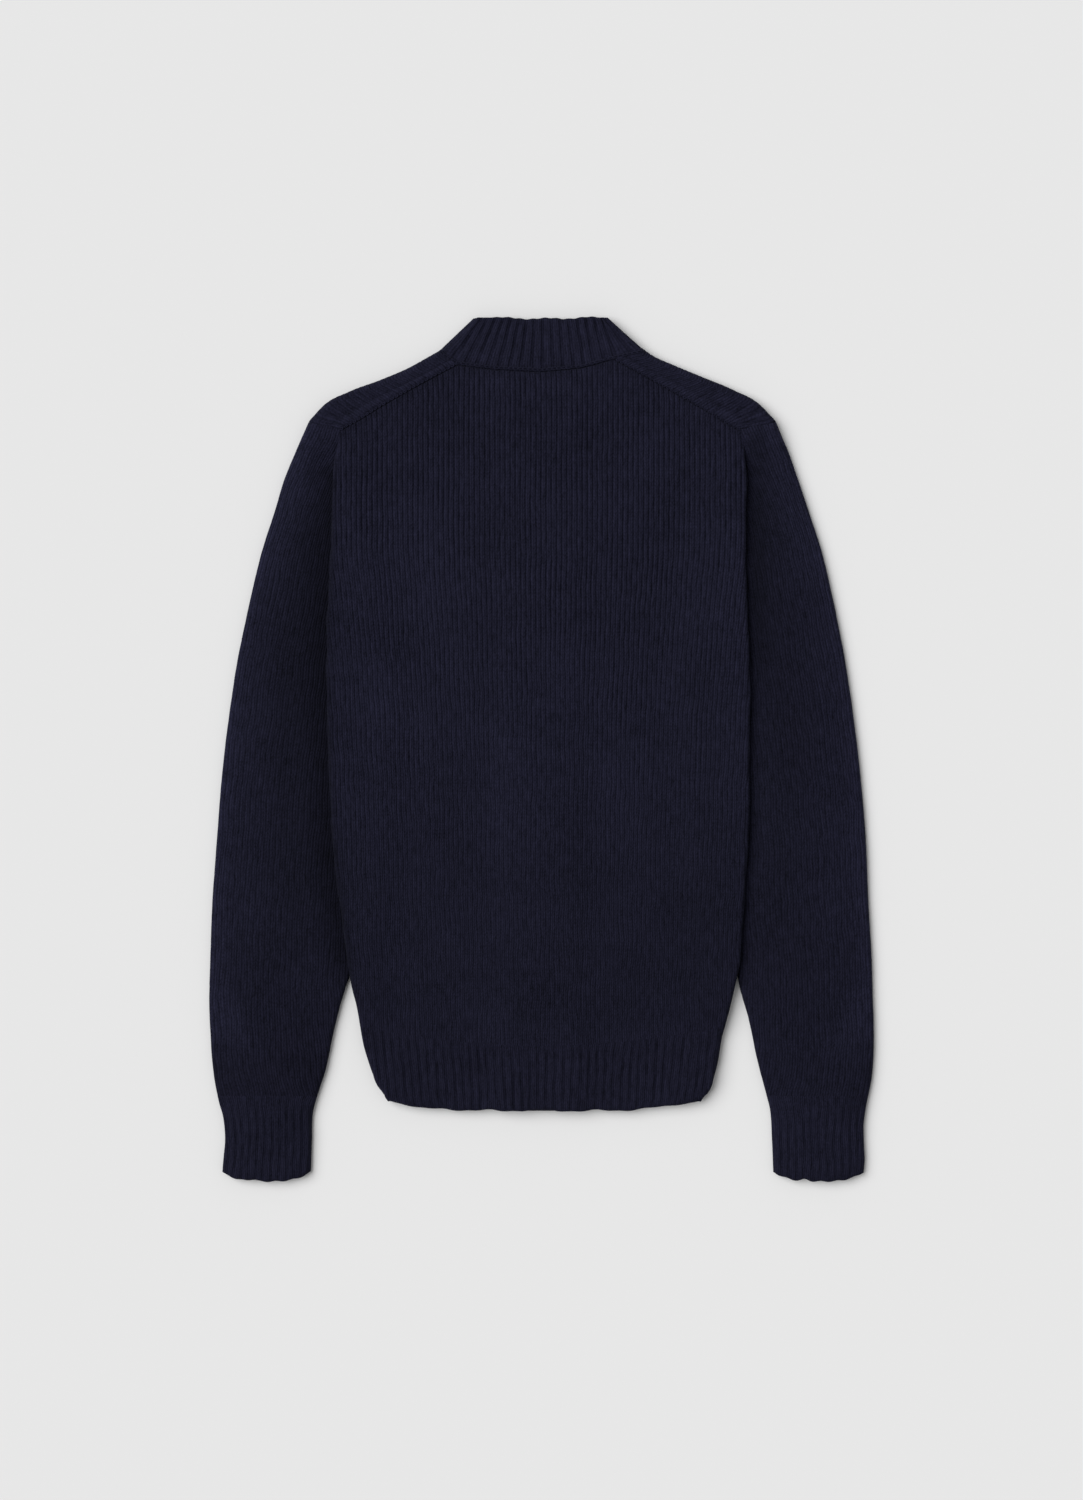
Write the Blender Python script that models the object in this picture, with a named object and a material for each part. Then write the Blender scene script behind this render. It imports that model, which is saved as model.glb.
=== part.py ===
"""A chunky knitted button cardigan, buttoned and laid out flat on its front.

The back shows on top, the sleeves come down along the sides with their inner edges tucked under the
body, and the fronts lie below. Every knitted piece is a sheet through sections worked out from the
tables here, given its wall by a Solidify modifier. Tables and sizes are in millimetres, meshes in
metres, +Z up, +Y to the neck, +X to the wearer's right.
"""

import math
from typing import NamedTuple

import bmesh
import bpy
import numpy as np

MM = 0.001

# Walls of the cloth, and the gap that pieces keep at a seam
BODY_WALL = 3.2
RIB_WALL = 3.2
SLEEVE_WALL = 2.8
BAND_WALL = 2.8
SEAM_GAP = 0.3

# Heights of the middle of each layer above the surface it lies on
FRONT_LEVEL = 0.5 * BODY_WALL
BACK_LEVEL = 8.6
SIDE_RISE = 0.9
BAND_RISE = 2.3
FOLD_RADIUS = 2.2
FLAP_UNDER_BACK = 2 * FOLD_RADIUS
NECK_FOLD_RADIUS = 0.5 * (BACK_LEVEL - FRONT_LEVEL)

# Where the back rises over its turned-under sides and over the bands
FLAP_BEYOND_SLEEVE = 5.0
SHORTEST_FLAP = 0.8
FLAP_LEAD = 40.0
FLAP_RAMP = 36.0
BAND_RISE_REACH = 50.0
BAND_RISE_RAMP = 26.0
BAND_RISE_TOP = 336.0
BAND_RISE_TOP_RAMP = 30.0

# Where a front rises to its band and to its side seam
BAND_RAMP_LEFT = 16.0
BAND_RAMP_RIGHT = 26.0
BAND_RAMP_CLEAR = 5.0
SIDE_RAMP = 14.0
ARMHOLE_TUCK = -0.4
FRONT_SIDE_GAP = 3 * SEAM_GAP

# Sleeves: middle of the under layer, of the upper layer at an edge, and of the crown
SLEEVE_UNDER = 0.5 * SLEEVE_WALL
SLEEVE_EDGE = 5.0
SLEEVE_CROWN = 8.1
SLEEVE_TUCKED = 4.75
SLEEVE_DIP_WIDTH = 26.0
SLEEVE_EDGE_SHARE = 0.38

# Centre front: two bands one on the other, over the buttons
BAND_HALF_WIDTH = 17.0
BAND_TOP = 301.0
BAND_BOTTOM = -317.0
BUTTON_RADIUS = 11.0
BUTTON_HEIGHT = 2.4
BUTTON_HOLE_RADIUS = 1.1
BUTTON_HOLE_SPREAD = 2.6
BUTTON_COUNT = 6
BUTTON_SIDES = 24
TOP_BUTTON = 281.0
BUTTON_SPACING = 115.0
OUTER_BAND_LEVEL = BUTTON_HEIGHT + SEAM_GAP + 0.5 * BAND_WALL
INNER_BAND_LEVEL = OUTER_BAND_LEVEL + BAND_WALL + SEAM_GAP


class BodyRow(NamedTuple):
    """Half widths of the body at one height, and how far the sleeve lies under its side."""

    y: float
    left: float
    right: float
    tuck: float
    lift: float


class SleeveRow(NamedTuple):
    """Outer edge of the sleeves at one height."""

    y: float
    left: float
    right: float


class SleeveRing(NamedTuple):
    """Heights of one ring of a sleeve at its outer edge, and at its inner edge or armhole seam."""

    outer_y: float
    inner_y: float


class SeamPoint(NamedTuple):
    """One point of a seam on the back: across, and up the garment."""

    x: float
    y: float


class ShoulderRow(NamedTuple):
    """The fold of a front over the shoulder, beside one column of the back."""

    share: float
    left_x: float
    left_y: float
    right_x: float
    right_y: float
    outward_x: float
    outward_y: float


class NeckTip(NamedTuple):
    """Where the neck band's free edge folds over at one side, and which way that fold faces."""

    x: float
    y: float
    outward_x: float
    outward_y: float


class TurnedPoint(NamedTuple):
    """One point of a button's profile: in from its rim, and up from its outer face."""

    inset: float
    height: float


class NeckRow(NamedTuple):
    """One station of the neck band on a front: its seam and its free edge.

    share is how far the front's column below it lies from the centre band to the neck corner.
    """

    share: float
    seam_x: float
    seam_y: float
    free_x: float
    free_y: float


BODY = (
    BodyRow(283.2, 179.5, 176.4, -0.4, 0.0),
    BodyRow(262.0, 181.0, 178.6, -0.4, 0.8),
    BodyRow(244.0, 183.0, 181.0, -0.4, 3.0),
    BodyRow(220.0, 184.0, 180.6, 3.0, 3.0),
    BodyRow(166.0, 186.1, 179.6, 14.0, 3.0),
    BodyRow(100.0, 188.8, 182.4, 28.0, 3.0),
    BodyRow(40.0, 188.8, 183.4, 37.5, 3.0),
    BodyRow(-10.0, 187.0, 183.0, 36.0, 3.0),
    BodyRow(-60.0, 185.2, 182.4, 32.5, 3.0),
    BodyRow(-110.0, 180.6, 180.0, 24.0, 3.0),
    BodyRow(-155.0, 174.6, 176.6, 13.0, 3.0),
    BodyRow(-198.0, 168.5, 172.4, 0.0, 3.0),
    BodyRow(-222.0, 163.2, 166.8, 0.0, 1.5),
    BodyRow(-245.0, 159.0, 161.2, 0.0, 0.0),
    BodyRow(-264.0, 155.3, 157.1, 0.0, 0.0),
    BodyRow(-283.0, 150.0, 153.2, 0.0, 0.0),
    BodyRow(-299.0, 141.6, 148.0, 0.0, 0.0),
    BodyRow(-308.0, 135.1, 140.4, 0.0, 0.0),
)

SLEEVE_OUTER = (
    SleeveRow(287.0, 205.5, 207.0),
    SleeveRow(277.0, 210.0, 211.0),
    SleeveRow(261.0, 217.0, 217.8),
    SleeveRow(238.0, 226.4, 225.8),
    SleeveRow(211.0, 234.5, 234.8),
    SleeveRow(172.0, 247.0, 247.4),
    SleeveRow(132.0, 256.5, 256.8),
    SleeveRow(79.0, 267.8, 267.2),
    SleeveRow(26.0, 275.8, 275.2),
    SleeveRow(-26.0, 281.8, 281.2),
    SleeveRow(-79.0, 285.9, 285.6),
    SleeveRow(-132.0, 289.8, 287.8),
    SleeveRow(-185.0, 291.8, 290.8),
    SleeveRow(-220.0, 292.6, 291.8),
    SleeveRow(-246.0, 291.8, 292.6),
    SleeveRow(-273.0, 290.0, 292.2),
    SleeveRow(-290.0, 288.0, 290.6),
    SleeveRow(-308.0, 284.4, 287.0),
    SleeveRow(-326.0, 280.0, 284.2),
    SleeveRow(-343.0, 278.6, 283.8),
    SleeveRow(-361.0, 280.2, 284.6),
    SleeveRow(-376.0, 281.4, 283.6),
)

# Inner edge of the sleeves where it is free of the body
SLEEVE_INNER = (
    SleeveRow(-198.0, 168.5, 172.4),
    SleeveRow(-211.0, 172.9, 174.9),
    SleeveRow(-229.0, 178.2, 180.2),
    SleeveRow(-246.0, 182.4, 184.4),
    SleeveRow(-264.0, 186.1, 187.9),
    SleeveRow(-282.0, 190.0, 192.2),
    SleeveRow(-299.0, 195.6, 196.8),
    SleeveRow(-317.0, 200.8, 201.1),
    SleeveRow(-343.0, 202.0, 202.8),
    SleeveRow(-376.0, 203.0, 204.0),
)

# The seam that closes the top of the back: shoulder, neck, shoulder
BACK_TOP_SEAM = (
    SeamPoint(-179.5, 280.0),
    SeamPoint(-158.0, 292.0),
    SeamPoint(-141.0, 303.0),
    SeamPoint(-112.0, 319.5),
    SeamPoint(-74.4, 339.7),
    SeamPoint(-42.0, 335.6),
    SeamPoint(0.0, 333.5),
    SeamPoint(34.0, 336.6),
    SeamPoint(63.5, 344.5),
    SeamPoint(86.7, 331.8),
    SeamPoint(121.0, 312.4),
    SeamPoint(144.0, 299.2),
    SeamPoint(158.0, 290.4),
    SeamPoint(176.4, 280.0),
)
NECK_CORNER_LEFT = 74.4
NECK_CORNER_RIGHT = 63.5
NECK_CORNER_CLEAR = 1.8
BELOW_FOLD = 6.0

# Shares are of the half width of the back between its neck corner and its armhole
SHOULDER = (
    ShoulderRow(0.00, 89.5, 351.5, 88.5, 353.5, 0.55, 0.84),
    ShoulderRow(0.26, 116.0, 336.7, 116.0, 338.8, 0.46, 0.89),
    ShoulderRow(0.50, 143.0, 325.2, 143.0, 327.6, 0.38, 0.92),
    ShoulderRow(0.74, 170.0, 315.0, 170.0, 316.2, 0.42, 0.91),
    ShoulderRow(0.90, 191.0, 303.8, 191.5, 304.4, 0.72, 0.69),
    ShoulderRow(1.00, 205.0, 288.8, 206.5, 288.8, 0.90, 0.43),
)

NECK = (
    NeckRow(0.00, 17.3, 263.0, 17.3, 301.0),
    NeckRow(0.08, 22.0, 263.4, 20.5, 301.6),
    NeckRow(0.32, 38.0, 267.5, 29.5, 305.0),
    NeckRow(0.55, 58.0, 281.0, 39.0, 316.0),
    NeckRow(0.74, 74.0, 304.0, 46.5, 334.0),
    NeckRow(0.88, 84.5, 330.0, 51.0, 356.0),
)
NECK_TIP_LEFT = NeckTip(57.2, 378.6, 0.95, 0.31)
NECK_TIP_RIGHT = NeckTip(58.8, 378.6, 0.95, 0.31)
NECK_FREE_TOP = 380.2
NECK_FREE_DIP = 1.8
NECK_FREE_CORNER_LEFT = 47.0
NECK_FREE_CORNER_RIGHT = 48.5

BUTTON_PROFILE = (
    TurnedPoint(1.6, 0.6),
    TurnedPoint(0.96, 0.0),
    TurnedPoint(0.48, 0.0),
    TurnedPoint(0.0, 0.84),
    TurnedPoint(0.0, 1.8),
    TurnedPoint(0.8, BUTTON_HEIGHT),
)

HEM_TOP_SIDE = -243.0
HEM_TOP_DROP = 16.6
HEM_BOTTOM_SIDE = -308.0
HEM_BOTTOM_CENTRE = -317.4
CUFF_TOP = -304.0
CUFF_BOTTOM_SIDE = -371.5
CUFF_BOTTOM_CENTRE = -380.2
UNDERARM = 40.0

BACK_ROWS = (-220, -198, -176, -155, -132, -110, -85, -60, -10, 40, 70, 100, 166, 220, 244, 262)
HEM_ROWS = (-258, -272, -284, -295, -303, -308)
SHARES_INSIDE_NECK = (0.0, 0.3, 0.64)
SHARES_OUTSIDE_NECK = (0.0, 0.26, 0.50, 0.74, 0.90, 1.0)
NECK_RIB_SHARES = (0.0, 0.2, 0.4, 0.6, 0.8, 1.0)
ARC = (45.0, 90.0, 135.0)
BAND_ROWS = 9

SLEEVE_RINGS = (
    SleeveRing(287.0, 282.2),
    SleeveRing(280.0, 275.5),
    SleeveRing(268.0, 266.0),
    SleeveRing(254.0, 255.0),
    SleeveRing(238.0, 244.0),
    SleeveRing(211.0, 226.0),
    SleeveRing(172.0, 192.0),
    SleeveRing(132.0, 150.0),
    SleeveRing(79.0, 96.0),
    SleeveRing(26.0, UNDERARM),
    SleeveRing(-26.0, -16.0),
    SleeveRing(-79.0, -72.0),
    SleeveRing(-132.0, -127.0),
    SleeveRing(-160.0, -157.0),
    SleeveRing(-185.0, -182.0),
    SleeveRing(-200.0, -198.0),
    SleeveRing(-211.0, -209.0),
    SleeveRing(-229.0, -228.0),
    SleeveRing(-246.0, -245.5),
    SleeveRing(-264.0, -264.0),
    SleeveRing(-282.0, -282.0),
    SleeveRing(-294.0, -294.0),
    SleeveRing(CUFF_TOP, CUFF_TOP),
)
TUBE_COLUMNS = 9
CUFF_RINGS = (-304.0, -312.0, -320.0, -332.0, -345.0, -358.0, -369.0, -376.0)

NAVY_KNIT = (0.0109, 0.0109, 0.0217)
NAVY_RIB = (0.0112, 0.0112, 0.0215)
NAVY_BAND = (0.0100, 0.0100, 0.0195)
DARK_HORN = (0.0120, 0.0095, 0.0085)


def eased(share):
    """A smooth step from 0 to 1 over shares 0 to 1."""
    held = min(max(share, 0.0), 1.0)
    return held * held * (3.0 - 2.0 * held)


def track(table, column):
    """A smooth function of height through one column of a table."""
    rows = sorted(table, key=lambda row: row.y)
    places = np.array([row.y for row in rows])
    values = np.array([getattr(row, column) for row in rows])
    slopes = np.gradient(values, places)

    def at(place):
        place = min(max(place, places[0]), places[-1])
        first = min(max(int(np.searchsorted(places, place)) - 1, 0), len(places) - 2)
        span = places[first + 1] - places[first]
        s = (place - places[first]) / span
        start = values[first] * (1 + 2 * s) * (1 - s) ** 2 + slopes[first] * span * s * (1 - s) ** 2
        end = values[first + 1] * s * s * (3 - 2 * s) - slopes[first + 1] * span * s * s * (1 - s)
        return float(start + end)

    return at


def straight(table, column, along):
    """A function of straight runs through one column of a table, read along another."""
    rows = sorted(table, key=lambda row: getattr(row, along))
    places = [getattr(row, along) for row in rows]
    values = [getattr(row, column) for row in rows]
    return lambda place: float(np.interp(place, places, values))


HALF_WIDTH = {-1: track(BODY, "left"), 1: track(BODY, "right")}
TUCK = track(BODY, "tuck")
LIFT = straight(BODY, "lift", "y")
OUTER = {-1: track(SLEEVE_OUTER, "left"), 1: track(SLEEVE_OUTER, "right")}
FREE_INNER = {-1: track(SLEEVE_INNER, "left"), 1: track(SLEEVE_INNER, "right")}
TOP_SEAM = straight(BACK_TOP_SEAM, "y", "x")
NECK_CORNER = {-1: NECK_CORNER_LEFT, 1: NECK_CORNER_RIGHT}
NECK_TIP = {-1: NECK_TIP_LEFT, 1: NECK_TIP_RIGHT}
FREE_CORNER = {-1: NECK_FREE_CORNER_LEFT, 1: NECK_FREE_CORNER_RIGHT}
BAND_LEVEL = {-1: OUTER_BAND_LEVEL, 1: INNER_BAND_LEVEL}
BAND_RAMP = {-1: BAND_RAMP_LEFT, 1: BAND_RAMP_RIGHT}
CROTCH = SLEEVE_INNER[0].y


def cloth_material(name, colour):
    """A matt knitted finish."""
    material = bpy.data.materials.new(name)
    material.use_nodes = True
    shader = material.node_tree.nodes["Principled BSDF"]
    shader.inputs["Base Color"].default_value = (*colour, 1.0)
    shader.inputs["Roughness"].default_value = 0.9
    shader.inputs["Metallic"].default_value = 0.0
    material.diffuse_color = (*colour, 1.0)
    return material


def lay_sheet(name, grid, wall, colour, present=None, closed=False):
    """Makes one piece of cloth: a sheet through a grid of points, with a wall of its own.

    grid holds rows of points in millimetres. present(row, column) says whether the cell after that
    row and column is cloth, and closed joins each row's last point to its first.
    """
    mesh = bpy.data.meshes.new(name)
    shape = bmesh.new()
    rows = [[shape.verts.new([value * MM for value in point]) for point in row] for row in grid]
    across = len(rows[0])
    for i in range(len(rows) - 1):
        for j in range(across if closed else across - 1):
            if present is None or present(i, j):
                k = (j + 1) % across
                shape.faces.new((rows[i][j], rows[i][k], rows[i + 1][k], rows[i + 1][j]))
    loose = [vertex for vertex in shape.verts if not vertex.link_faces]
    bmesh.ops.delete(shape, geom=loose, context="VERTS")
    shape.to_mesh(mesh)
    shape.free()
    mesh.shade_smooth()
    piece = bpy.data.objects.new(name, mesh)
    bpy.context.scene.collection.objects.link(piece)
    mesh.materials.append(cloth_material(name, colour))
    thicken = piece.modifiers.new("wall", "SOLIDIFY")
    thicken.thickness = wall * MM
    thicken.offset = 0.0
    thicken.use_quality_normals = True


def flap_width(y):
    """How far the back's side is turned under, to its side seam."""
    return max(TUCK(y), 0.0) + FLAP_BEYOND_SLEEVE


def back_height(side, x, y, edge_y):
    """Height of the middle of the back's cloth, over the bands and over the tucked sleeves."""
    inward = HALF_WIDTH[side](edge_y) - abs(x)
    rise = eased((flap_width(edge_y) + FLAP_LEAD - inward) / FLAP_RAMP)
    over_bands = eased((BAND_RISE_REACH - abs(x)) / BAND_RISE_RAMP)
    over_bands *= eased((BAND_RISE_TOP - y) / BAND_RISE_TOP_RAMP)
    return BACK_LEVEL + BAND_RISE * over_bands + (SIDE_RISE + LIFT(edge_y)) * rise


def front_height(side, x, inward, edge_y):
    """Height of the middle of a front's cloth: flat, rising to its band and to its side seam."""
    ramp = BAND_RAMP[side]
    to_band = eased((BAND_HALF_WIDTH + BAND_RAMP_CLEAR + ramp - abs(x)) / ramp)
    to_side = eased((SIDE_RAMP - inward) / SIDE_RAMP)
    return FRONT_LEVEL + (BAND_LEVEL[side] - FRONT_LEVEL) * to_band + LIFT(edge_y) * to_side


def flat_half_width(side, y):
    """Half width of the back up to where its side starts to fold under."""
    return HALF_WIDTH[side](y) - 0.5 * BODY_WALL - FOLD_RADIUS


def column_share(side):
    """Where the neck corner's column lies, as a share of the flat half width of the back."""
    return NECK_CORNER[side] / flat_half_width(side, BODY[0].y)


def back_columns(side):
    """Shares of the flat half width where the back has columns, centre to fold."""
    corner = column_share(side)
    inside = [corner * share for share in SHARES_INSIDE_NECK]
    return inside + [corner + (1.0 - corner) * share for share in SHARES_OUTSIDE_NECK]


def side_turn(side, y):
    """Points where the back folds under at one side, from the top layer to the side seam."""
    flat = flat_half_width(side, y)
    top = back_height(side, flat, y, y)
    points = []
    for angle in ARC:
        turn = math.radians(angle)
        across = flat + FOLD_RADIUS * math.sin(turn)
        points.append((side * across, y, top - FOLD_RADIUS * (1.0 - math.cos(turn))))
    end = min(HALF_WIDTH[side](y) - flap_width(y), flat - SHORTEST_FLAP)
    for share in (0.0, 0.5, 1.0):
        across = flat + (end - flat) * share
        points.append((side * across, y, top - FLAP_UNDER_BACK))
    return points


def back_section(edge_y, lowest, highest):
    """One section of the back across the garment, side seam to side seam.

    edge_y is its height at the sides. lowest and highest give the piece's own end curves.
    """
    share_up = (edge_y - lowest(1.0, 1)) / (highest(1.0, 1) - lowest(1.0, 1))
    halves = {}
    for side in (-1, 1):
        flat = flat_half_width(side, edge_y)
        top = []
        for share in back_columns(side):
            low = lowest(share, side)
            y = low + (highest(share, side) - low) * share_up
            x = share * flat
            top.append((side * x, y, back_height(side, x, y, edge_y)))
        halves[side] = top + side_turn(side, edge_y)
    return halves[-1][:0:-1] + halves[1]


def hem_top(share, side):
    """Height of the seam between body and hem rib at one column."""
    return HEM_TOP_SIDE - HEM_TOP_DROP * (1.0 - share * share)


def hem_bottom(share, side):
    """Height of the hem's free edge at one column."""
    return HEM_BOTTOM_CENTRE + (HEM_BOTTOM_SIDE - HEM_BOTTOM_CENTRE) * share**5


def back_top(share, side):
    """Height of the shoulder and neck seam at one column of the back."""
    flat = flat_half_width(side, BODY[0].y)
    return TOP_SEAM(side * share * flat)


def less(curve, gap):
    """The same end curve moved along the garment by a gap."""
    return lambda share, side: curve(share, side) + gap


def build_back():
    """Back panel and its hem rib."""
    lowest = less(hem_top, 0.5 * SEAM_GAP)
    highest = less(back_top, -SEAM_GAP)
    rows = [lowest(1.0, 1), *BACK_ROWS, highest(1.0, 1)]
    lay_sheet("back_panel", [back_section(y, lowest, highest) for y in rows], BODY_WALL, NAVY_KNIT)
    rib_top = less(hem_top, -0.5 * SEAM_GAP)
    rows = [rib_top(1.0, 1), *HEM_ROWS]
    grid = [back_section(y, rib_top, hem_bottom) for y in rows]
    lay_sheet("hem_rib_back", grid, RIB_WALL, NAVY_RIB)


def front_half_width(side, y):
    """How far a front reaches from the centre: to the side seam, or to the armhole seam."""
    return HALF_WIDTH[side](y) - max(TUCK(y), ARMHOLE_TUCK) - FRONT_SIDE_GAP


def front_columns(side, edge_y, neck_pull):
    """Distances from the centre of a front's columns at one height, band to side.

    neck_pull says how far the inner columns have moved to their places on the neckline.
    """
    reach = front_half_width(side, edge_y)
    low_corner = column_share(side) * reach
    inner_end = BAND_HALF_WIDTH + SEAM_GAP
    places = []
    for station in NECK:
        low_x = inner_end + (low_corner - inner_end) * station.share
        places.append(low_x + (station.seam_x - low_x) * neck_pull)
    corner = low_corner + (NECK[-1].seam_x + NECK_CORNER_CLEAR - low_corner) * neck_pull
    for share in SHARES_OUTSIDE_NECK:
        places.append(corner + (reach - corner) * share)
    return places


def front_section(side, edge_y, lows, highs, neck_pull):
    """One section of a front on the surface, from its band to its side seam.

    edge_y is its height at the side. lows and highs are the ends of each column.
    """
    reach = front_half_width(side, edge_y)
    share_up = (edge_y - lows[-1]) / (highs[-1] - lows[-1])
    points = []
    for x, low, high in zip(front_columns(side, edge_y, neck_pull), lows, highs):
        y = low + (high - low) * share_up
        points.append((side * x, y, front_height(side, x, reach - x, edge_y)))
    return points


def shoulder_fold(side, row, radius):
    """Where a front's column folds over the shoulder: its surface, arc and top points."""
    fold_x = row.left_x if side < 0 else row.right_x
    fold_y = row.left_y if side < 0 else row.right_y
    length = math.hypot(row.outward_x, row.outward_y)
    outward = (row.outward_x / length, row.outward_y / length)
    inset = 0.5 * BODY_WALL + radius
    centre = (fold_x - inset * outward[0], fold_y - inset * outward[1])
    points = []
    for angle in (0.0, *ARC, 180.0):
        turn = math.radians(angle)
        step = radius * math.sin(turn)
        z = FRONT_LEVEL + radius * (1.0 - math.cos(turn))
        points.append((side * (centre[0] + step * outward[0]), centre[1] + step * outward[1], z))
    return points


def shoulder_columns(side):
    """For each shoulder column: the points of its fold, then down the back to the shoulder seam."""
    flat = flat_half_width(side, BODY[0].y)
    corner = column_share(side)
    columns = []
    for row in SHOULDER:
        share = corner + (1.0 - corner) * row.share
        seam_x = side * share * flat
        seam_y = TOP_SEAM(seam_x)
        top = back_height(side, abs(seam_x), seam_y, BODY[0].y)
        points = shoulder_fold(side, row, 0.5 * (top - FRONT_LEVEL))
        over = points[-1]
        middle = ((over[0] + seam_x) / 2, (over[1] + seam_y) / 2, top)
        columns.append(points + [middle, (seam_x, seam_y, top)])
    return columns


def build_fronts():
    """Front panels and the hem ribs below them."""
    top = BODY[0].y
    for side, word in ((-1, "left"), (1, "right")):
        folds = shoulder_columns(side)
        reach = front_half_width(side, HEM_TOP_SIDE)
        shares = [x / reach for x in front_columns(side, HEM_TOP_SIDE, 0.0)]
        seam = [hem_top(share, side) for share in shares]
        lows = [y + 0.5 * SEAM_GAP for y in seam]
        highs = [station.seam_y - 0.5 * SEAM_GAP for station in NECK]
        highs += [fold[0][1] - BELOW_FOLD for fold in folds[:-1]] + [top]
        rows = [lows[-1], *BACK_ROWS, top]
        grid = [front_section(side, y, lows, highs, eased(y / top)) for y in rows]
        neckline = grid[-1][: len(NECK)]
        first_fold_row = len(grid) - 1
        grid += [neckline + [column[step] for column in folds] for step in range(len(folds[0]))]

        def present(row, column):
            return row < first_fold_row or column >= len(NECK)

        lay_sheet(f"front_panel_{word}", grid, BODY_WALL, NAVY_KNIT, present)
        highs = [y - 0.5 * SEAM_GAP for y in seam]
        lows = [hem_bottom(share, side) for share in shares]
        rows = [highs[-1], *HEM_ROWS]
        grid = [front_section(side, y, lows, highs, 0.0) for y in rows]
        lay_sheet(f"hem_rib_front_{word}", grid, RIB_WALL, NAVY_RIB)


def toward(start, end, distance):
    """A point moved from start towards end by a distance."""
    start = np.array(start)
    run = np.array(end) - start
    return tuple(start + run * distance / np.linalg.norm(run))


def neck_front(side):
    """Seam and free points of the neck band on one front, centre to fold."""
    stations = []
    for row in NECK:
        seam_z = front_height(side, row.seam_x, math.inf, 0.0)
        free_z = front_height(side, row.free_x, math.inf, 0.0)
        seam = (side * row.seam_x, row.seam_y, seam_z)
        stations.append((seam, (side * row.free_x, row.free_y, free_z)))
    return stations


def neck_turn(side):
    """Seam and free points of the neck band where it folds over at one side, front to back."""
    tip = NECK_TIP[side]
    inset = 0.5 * RIB_WALL + NECK_FOLD_RADIUS
    stations = []
    seams = shoulder_columns(side)[0]
    for seam, angle in zip(seams, (0.0, *ARC, 180.0)):
        turn = math.radians(angle)
        step = NECK_FOLD_RADIUS * math.sin(turn) - inset
        z = FRONT_LEVEL + NECK_FOLD_RADIUS * (1.0 - math.cos(turn))
        free = (side * (tip.x + step * tip.outward_x), tip.y + step * tip.outward_y, z)
        stations.append((seam, free))
    middle = stations[-1][1]
    corner = (side * FREE_CORNER[side], NECK_FREE_TOP, BACK_LEVEL)
    halfway = tuple(0.5 * (a + b) for a, b in zip(middle, corner))
    stations.append((seams[5], halfway))
    return stations


def neck_back():
    """Seam and free points of the neck band across the back."""
    stations = []
    for side in (-1, 1):
        flat = flat_half_width(side, BODY[0].y)
        half = []
        for share in (*SHARES_INSIDE_NECK, 1.0):
            x = share * NECK_CORNER[side]
            y = back_top(x / flat, side)
            seam = (side * x, y, back_height(side, x, y, BODY[0].y))
            free_y = NECK_FREE_TOP - NECK_FREE_DIP * (1.0 - share * share)
            half.append((seam, (side * share * FREE_CORNER[side], free_y, BACK_LEVEL)))
        stations = half[:0:-1] + half if side < 0 else stations[: len(half) - 1] + half
    return stations


def build_neck_rib():
    """The stand band round the neck, one strip from front end to front end."""
    left = neck_front(-1) + neck_turn(-1)
    right = neck_front(1) + neck_turn(1)
    stations = left + neck_back() + right[::-1]
    grid = []
    for share in NECK_RIB_SHARES:
        row = []
        for seam, free in stations:
            start = np.array(toward(seam, free, SEAM_GAP))
            row.append(tuple(start + (np.array(free) - start) * share))
        grid.append(row)
    lay_sheet("neck_rib", grid, RIB_WALL, NAVY_RIB)


def sleeve_inner(side, y):
    """Inner edge of a sleeve at one height: at its armhole seam, tucked, or free."""
    if y > CROTCH:
        return HALF_WIDTH[side](y) - TUCK(y)
    return FREE_INNER[side](y)


def sleeve_height(side, share, x, y):
    """Height of the middle of a sleeve's upper layer, share running from outer to inner edge."""
    edge = min(share, 1.0 - share) / SLEEVE_EDGE_SHARE
    crown = 1.0 - (1.0 - min(edge, 1.0)) ** 2
    open_height = SLEEVE_EDGE + (SLEEVE_CROWN - SLEEVE_EDGE) * crown
    clear = eased((x - HALF_WIDTH[side](y)) / SLEEVE_DIP_WIDTH)
    under_body = SLEEVE_TUCKED + (SLEEVE_CROWN - SLEEVE_TUCKED) * clear
    return min(open_height, under_body)


def tube_section(side, outer, inner, is_open=False):
    """One section round a flattened tube: inner edge below, out, round the outer edge and back.

    outer and inner are the two edges of the tube laid flat, across and up. An open section ends at
    its inner edge, where it is sewn to the armhole.
    """
    outer_x, outer_y = outer
    inner_x, inner_y = inner
    width = outer_x - inner_x
    outer_bend = 0.5 * (sleeve_height(side, 0.0, outer_x, inner_y) - SLEEVE_UNDER)
    inner_bend = 0.5 * (sleeve_height(side, 1.0, inner_x, inner_y) - SLEEVE_UNDER)
    start = (SLEEVE_UNDER + outer_bend) / width
    stop = 1.0 if is_open else 1.0 - (SLEEVE_UNDER + inner_bend) / width
    shares = [start + (stop - start) * step / (TUBE_COLUMNS - 1) for step in range(TUBE_COLUMNS)]

    def across(share):
        return outer_x + (inner_x - outer_x) * share, outer_y + (inner_y - outer_y) * share

    def place(share, z):
        x, y = across(share)
        return (side * x, y, z)

    points = [place(share, SLEEVE_UNDER) for share in shares[::-1]]
    for angle in ARC:
        turn = math.radians(angle)
        share = start - outer_bend * math.sin(turn) / width
        points.append(place(share, SLEEVE_UNDER + outer_bend * (1.0 - math.cos(turn))))
    points += [place(share, sleeve_height(side, share, *across(share))) for share in shares]
    for angle in ARC:
        turn = math.radians(angle)
        share = stop + inner_bend * math.sin(turn) / width
        points.append(place(share, SLEEVE_UNDER + inner_bend * (1.0 + math.cos(turn))))
    return points


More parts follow.
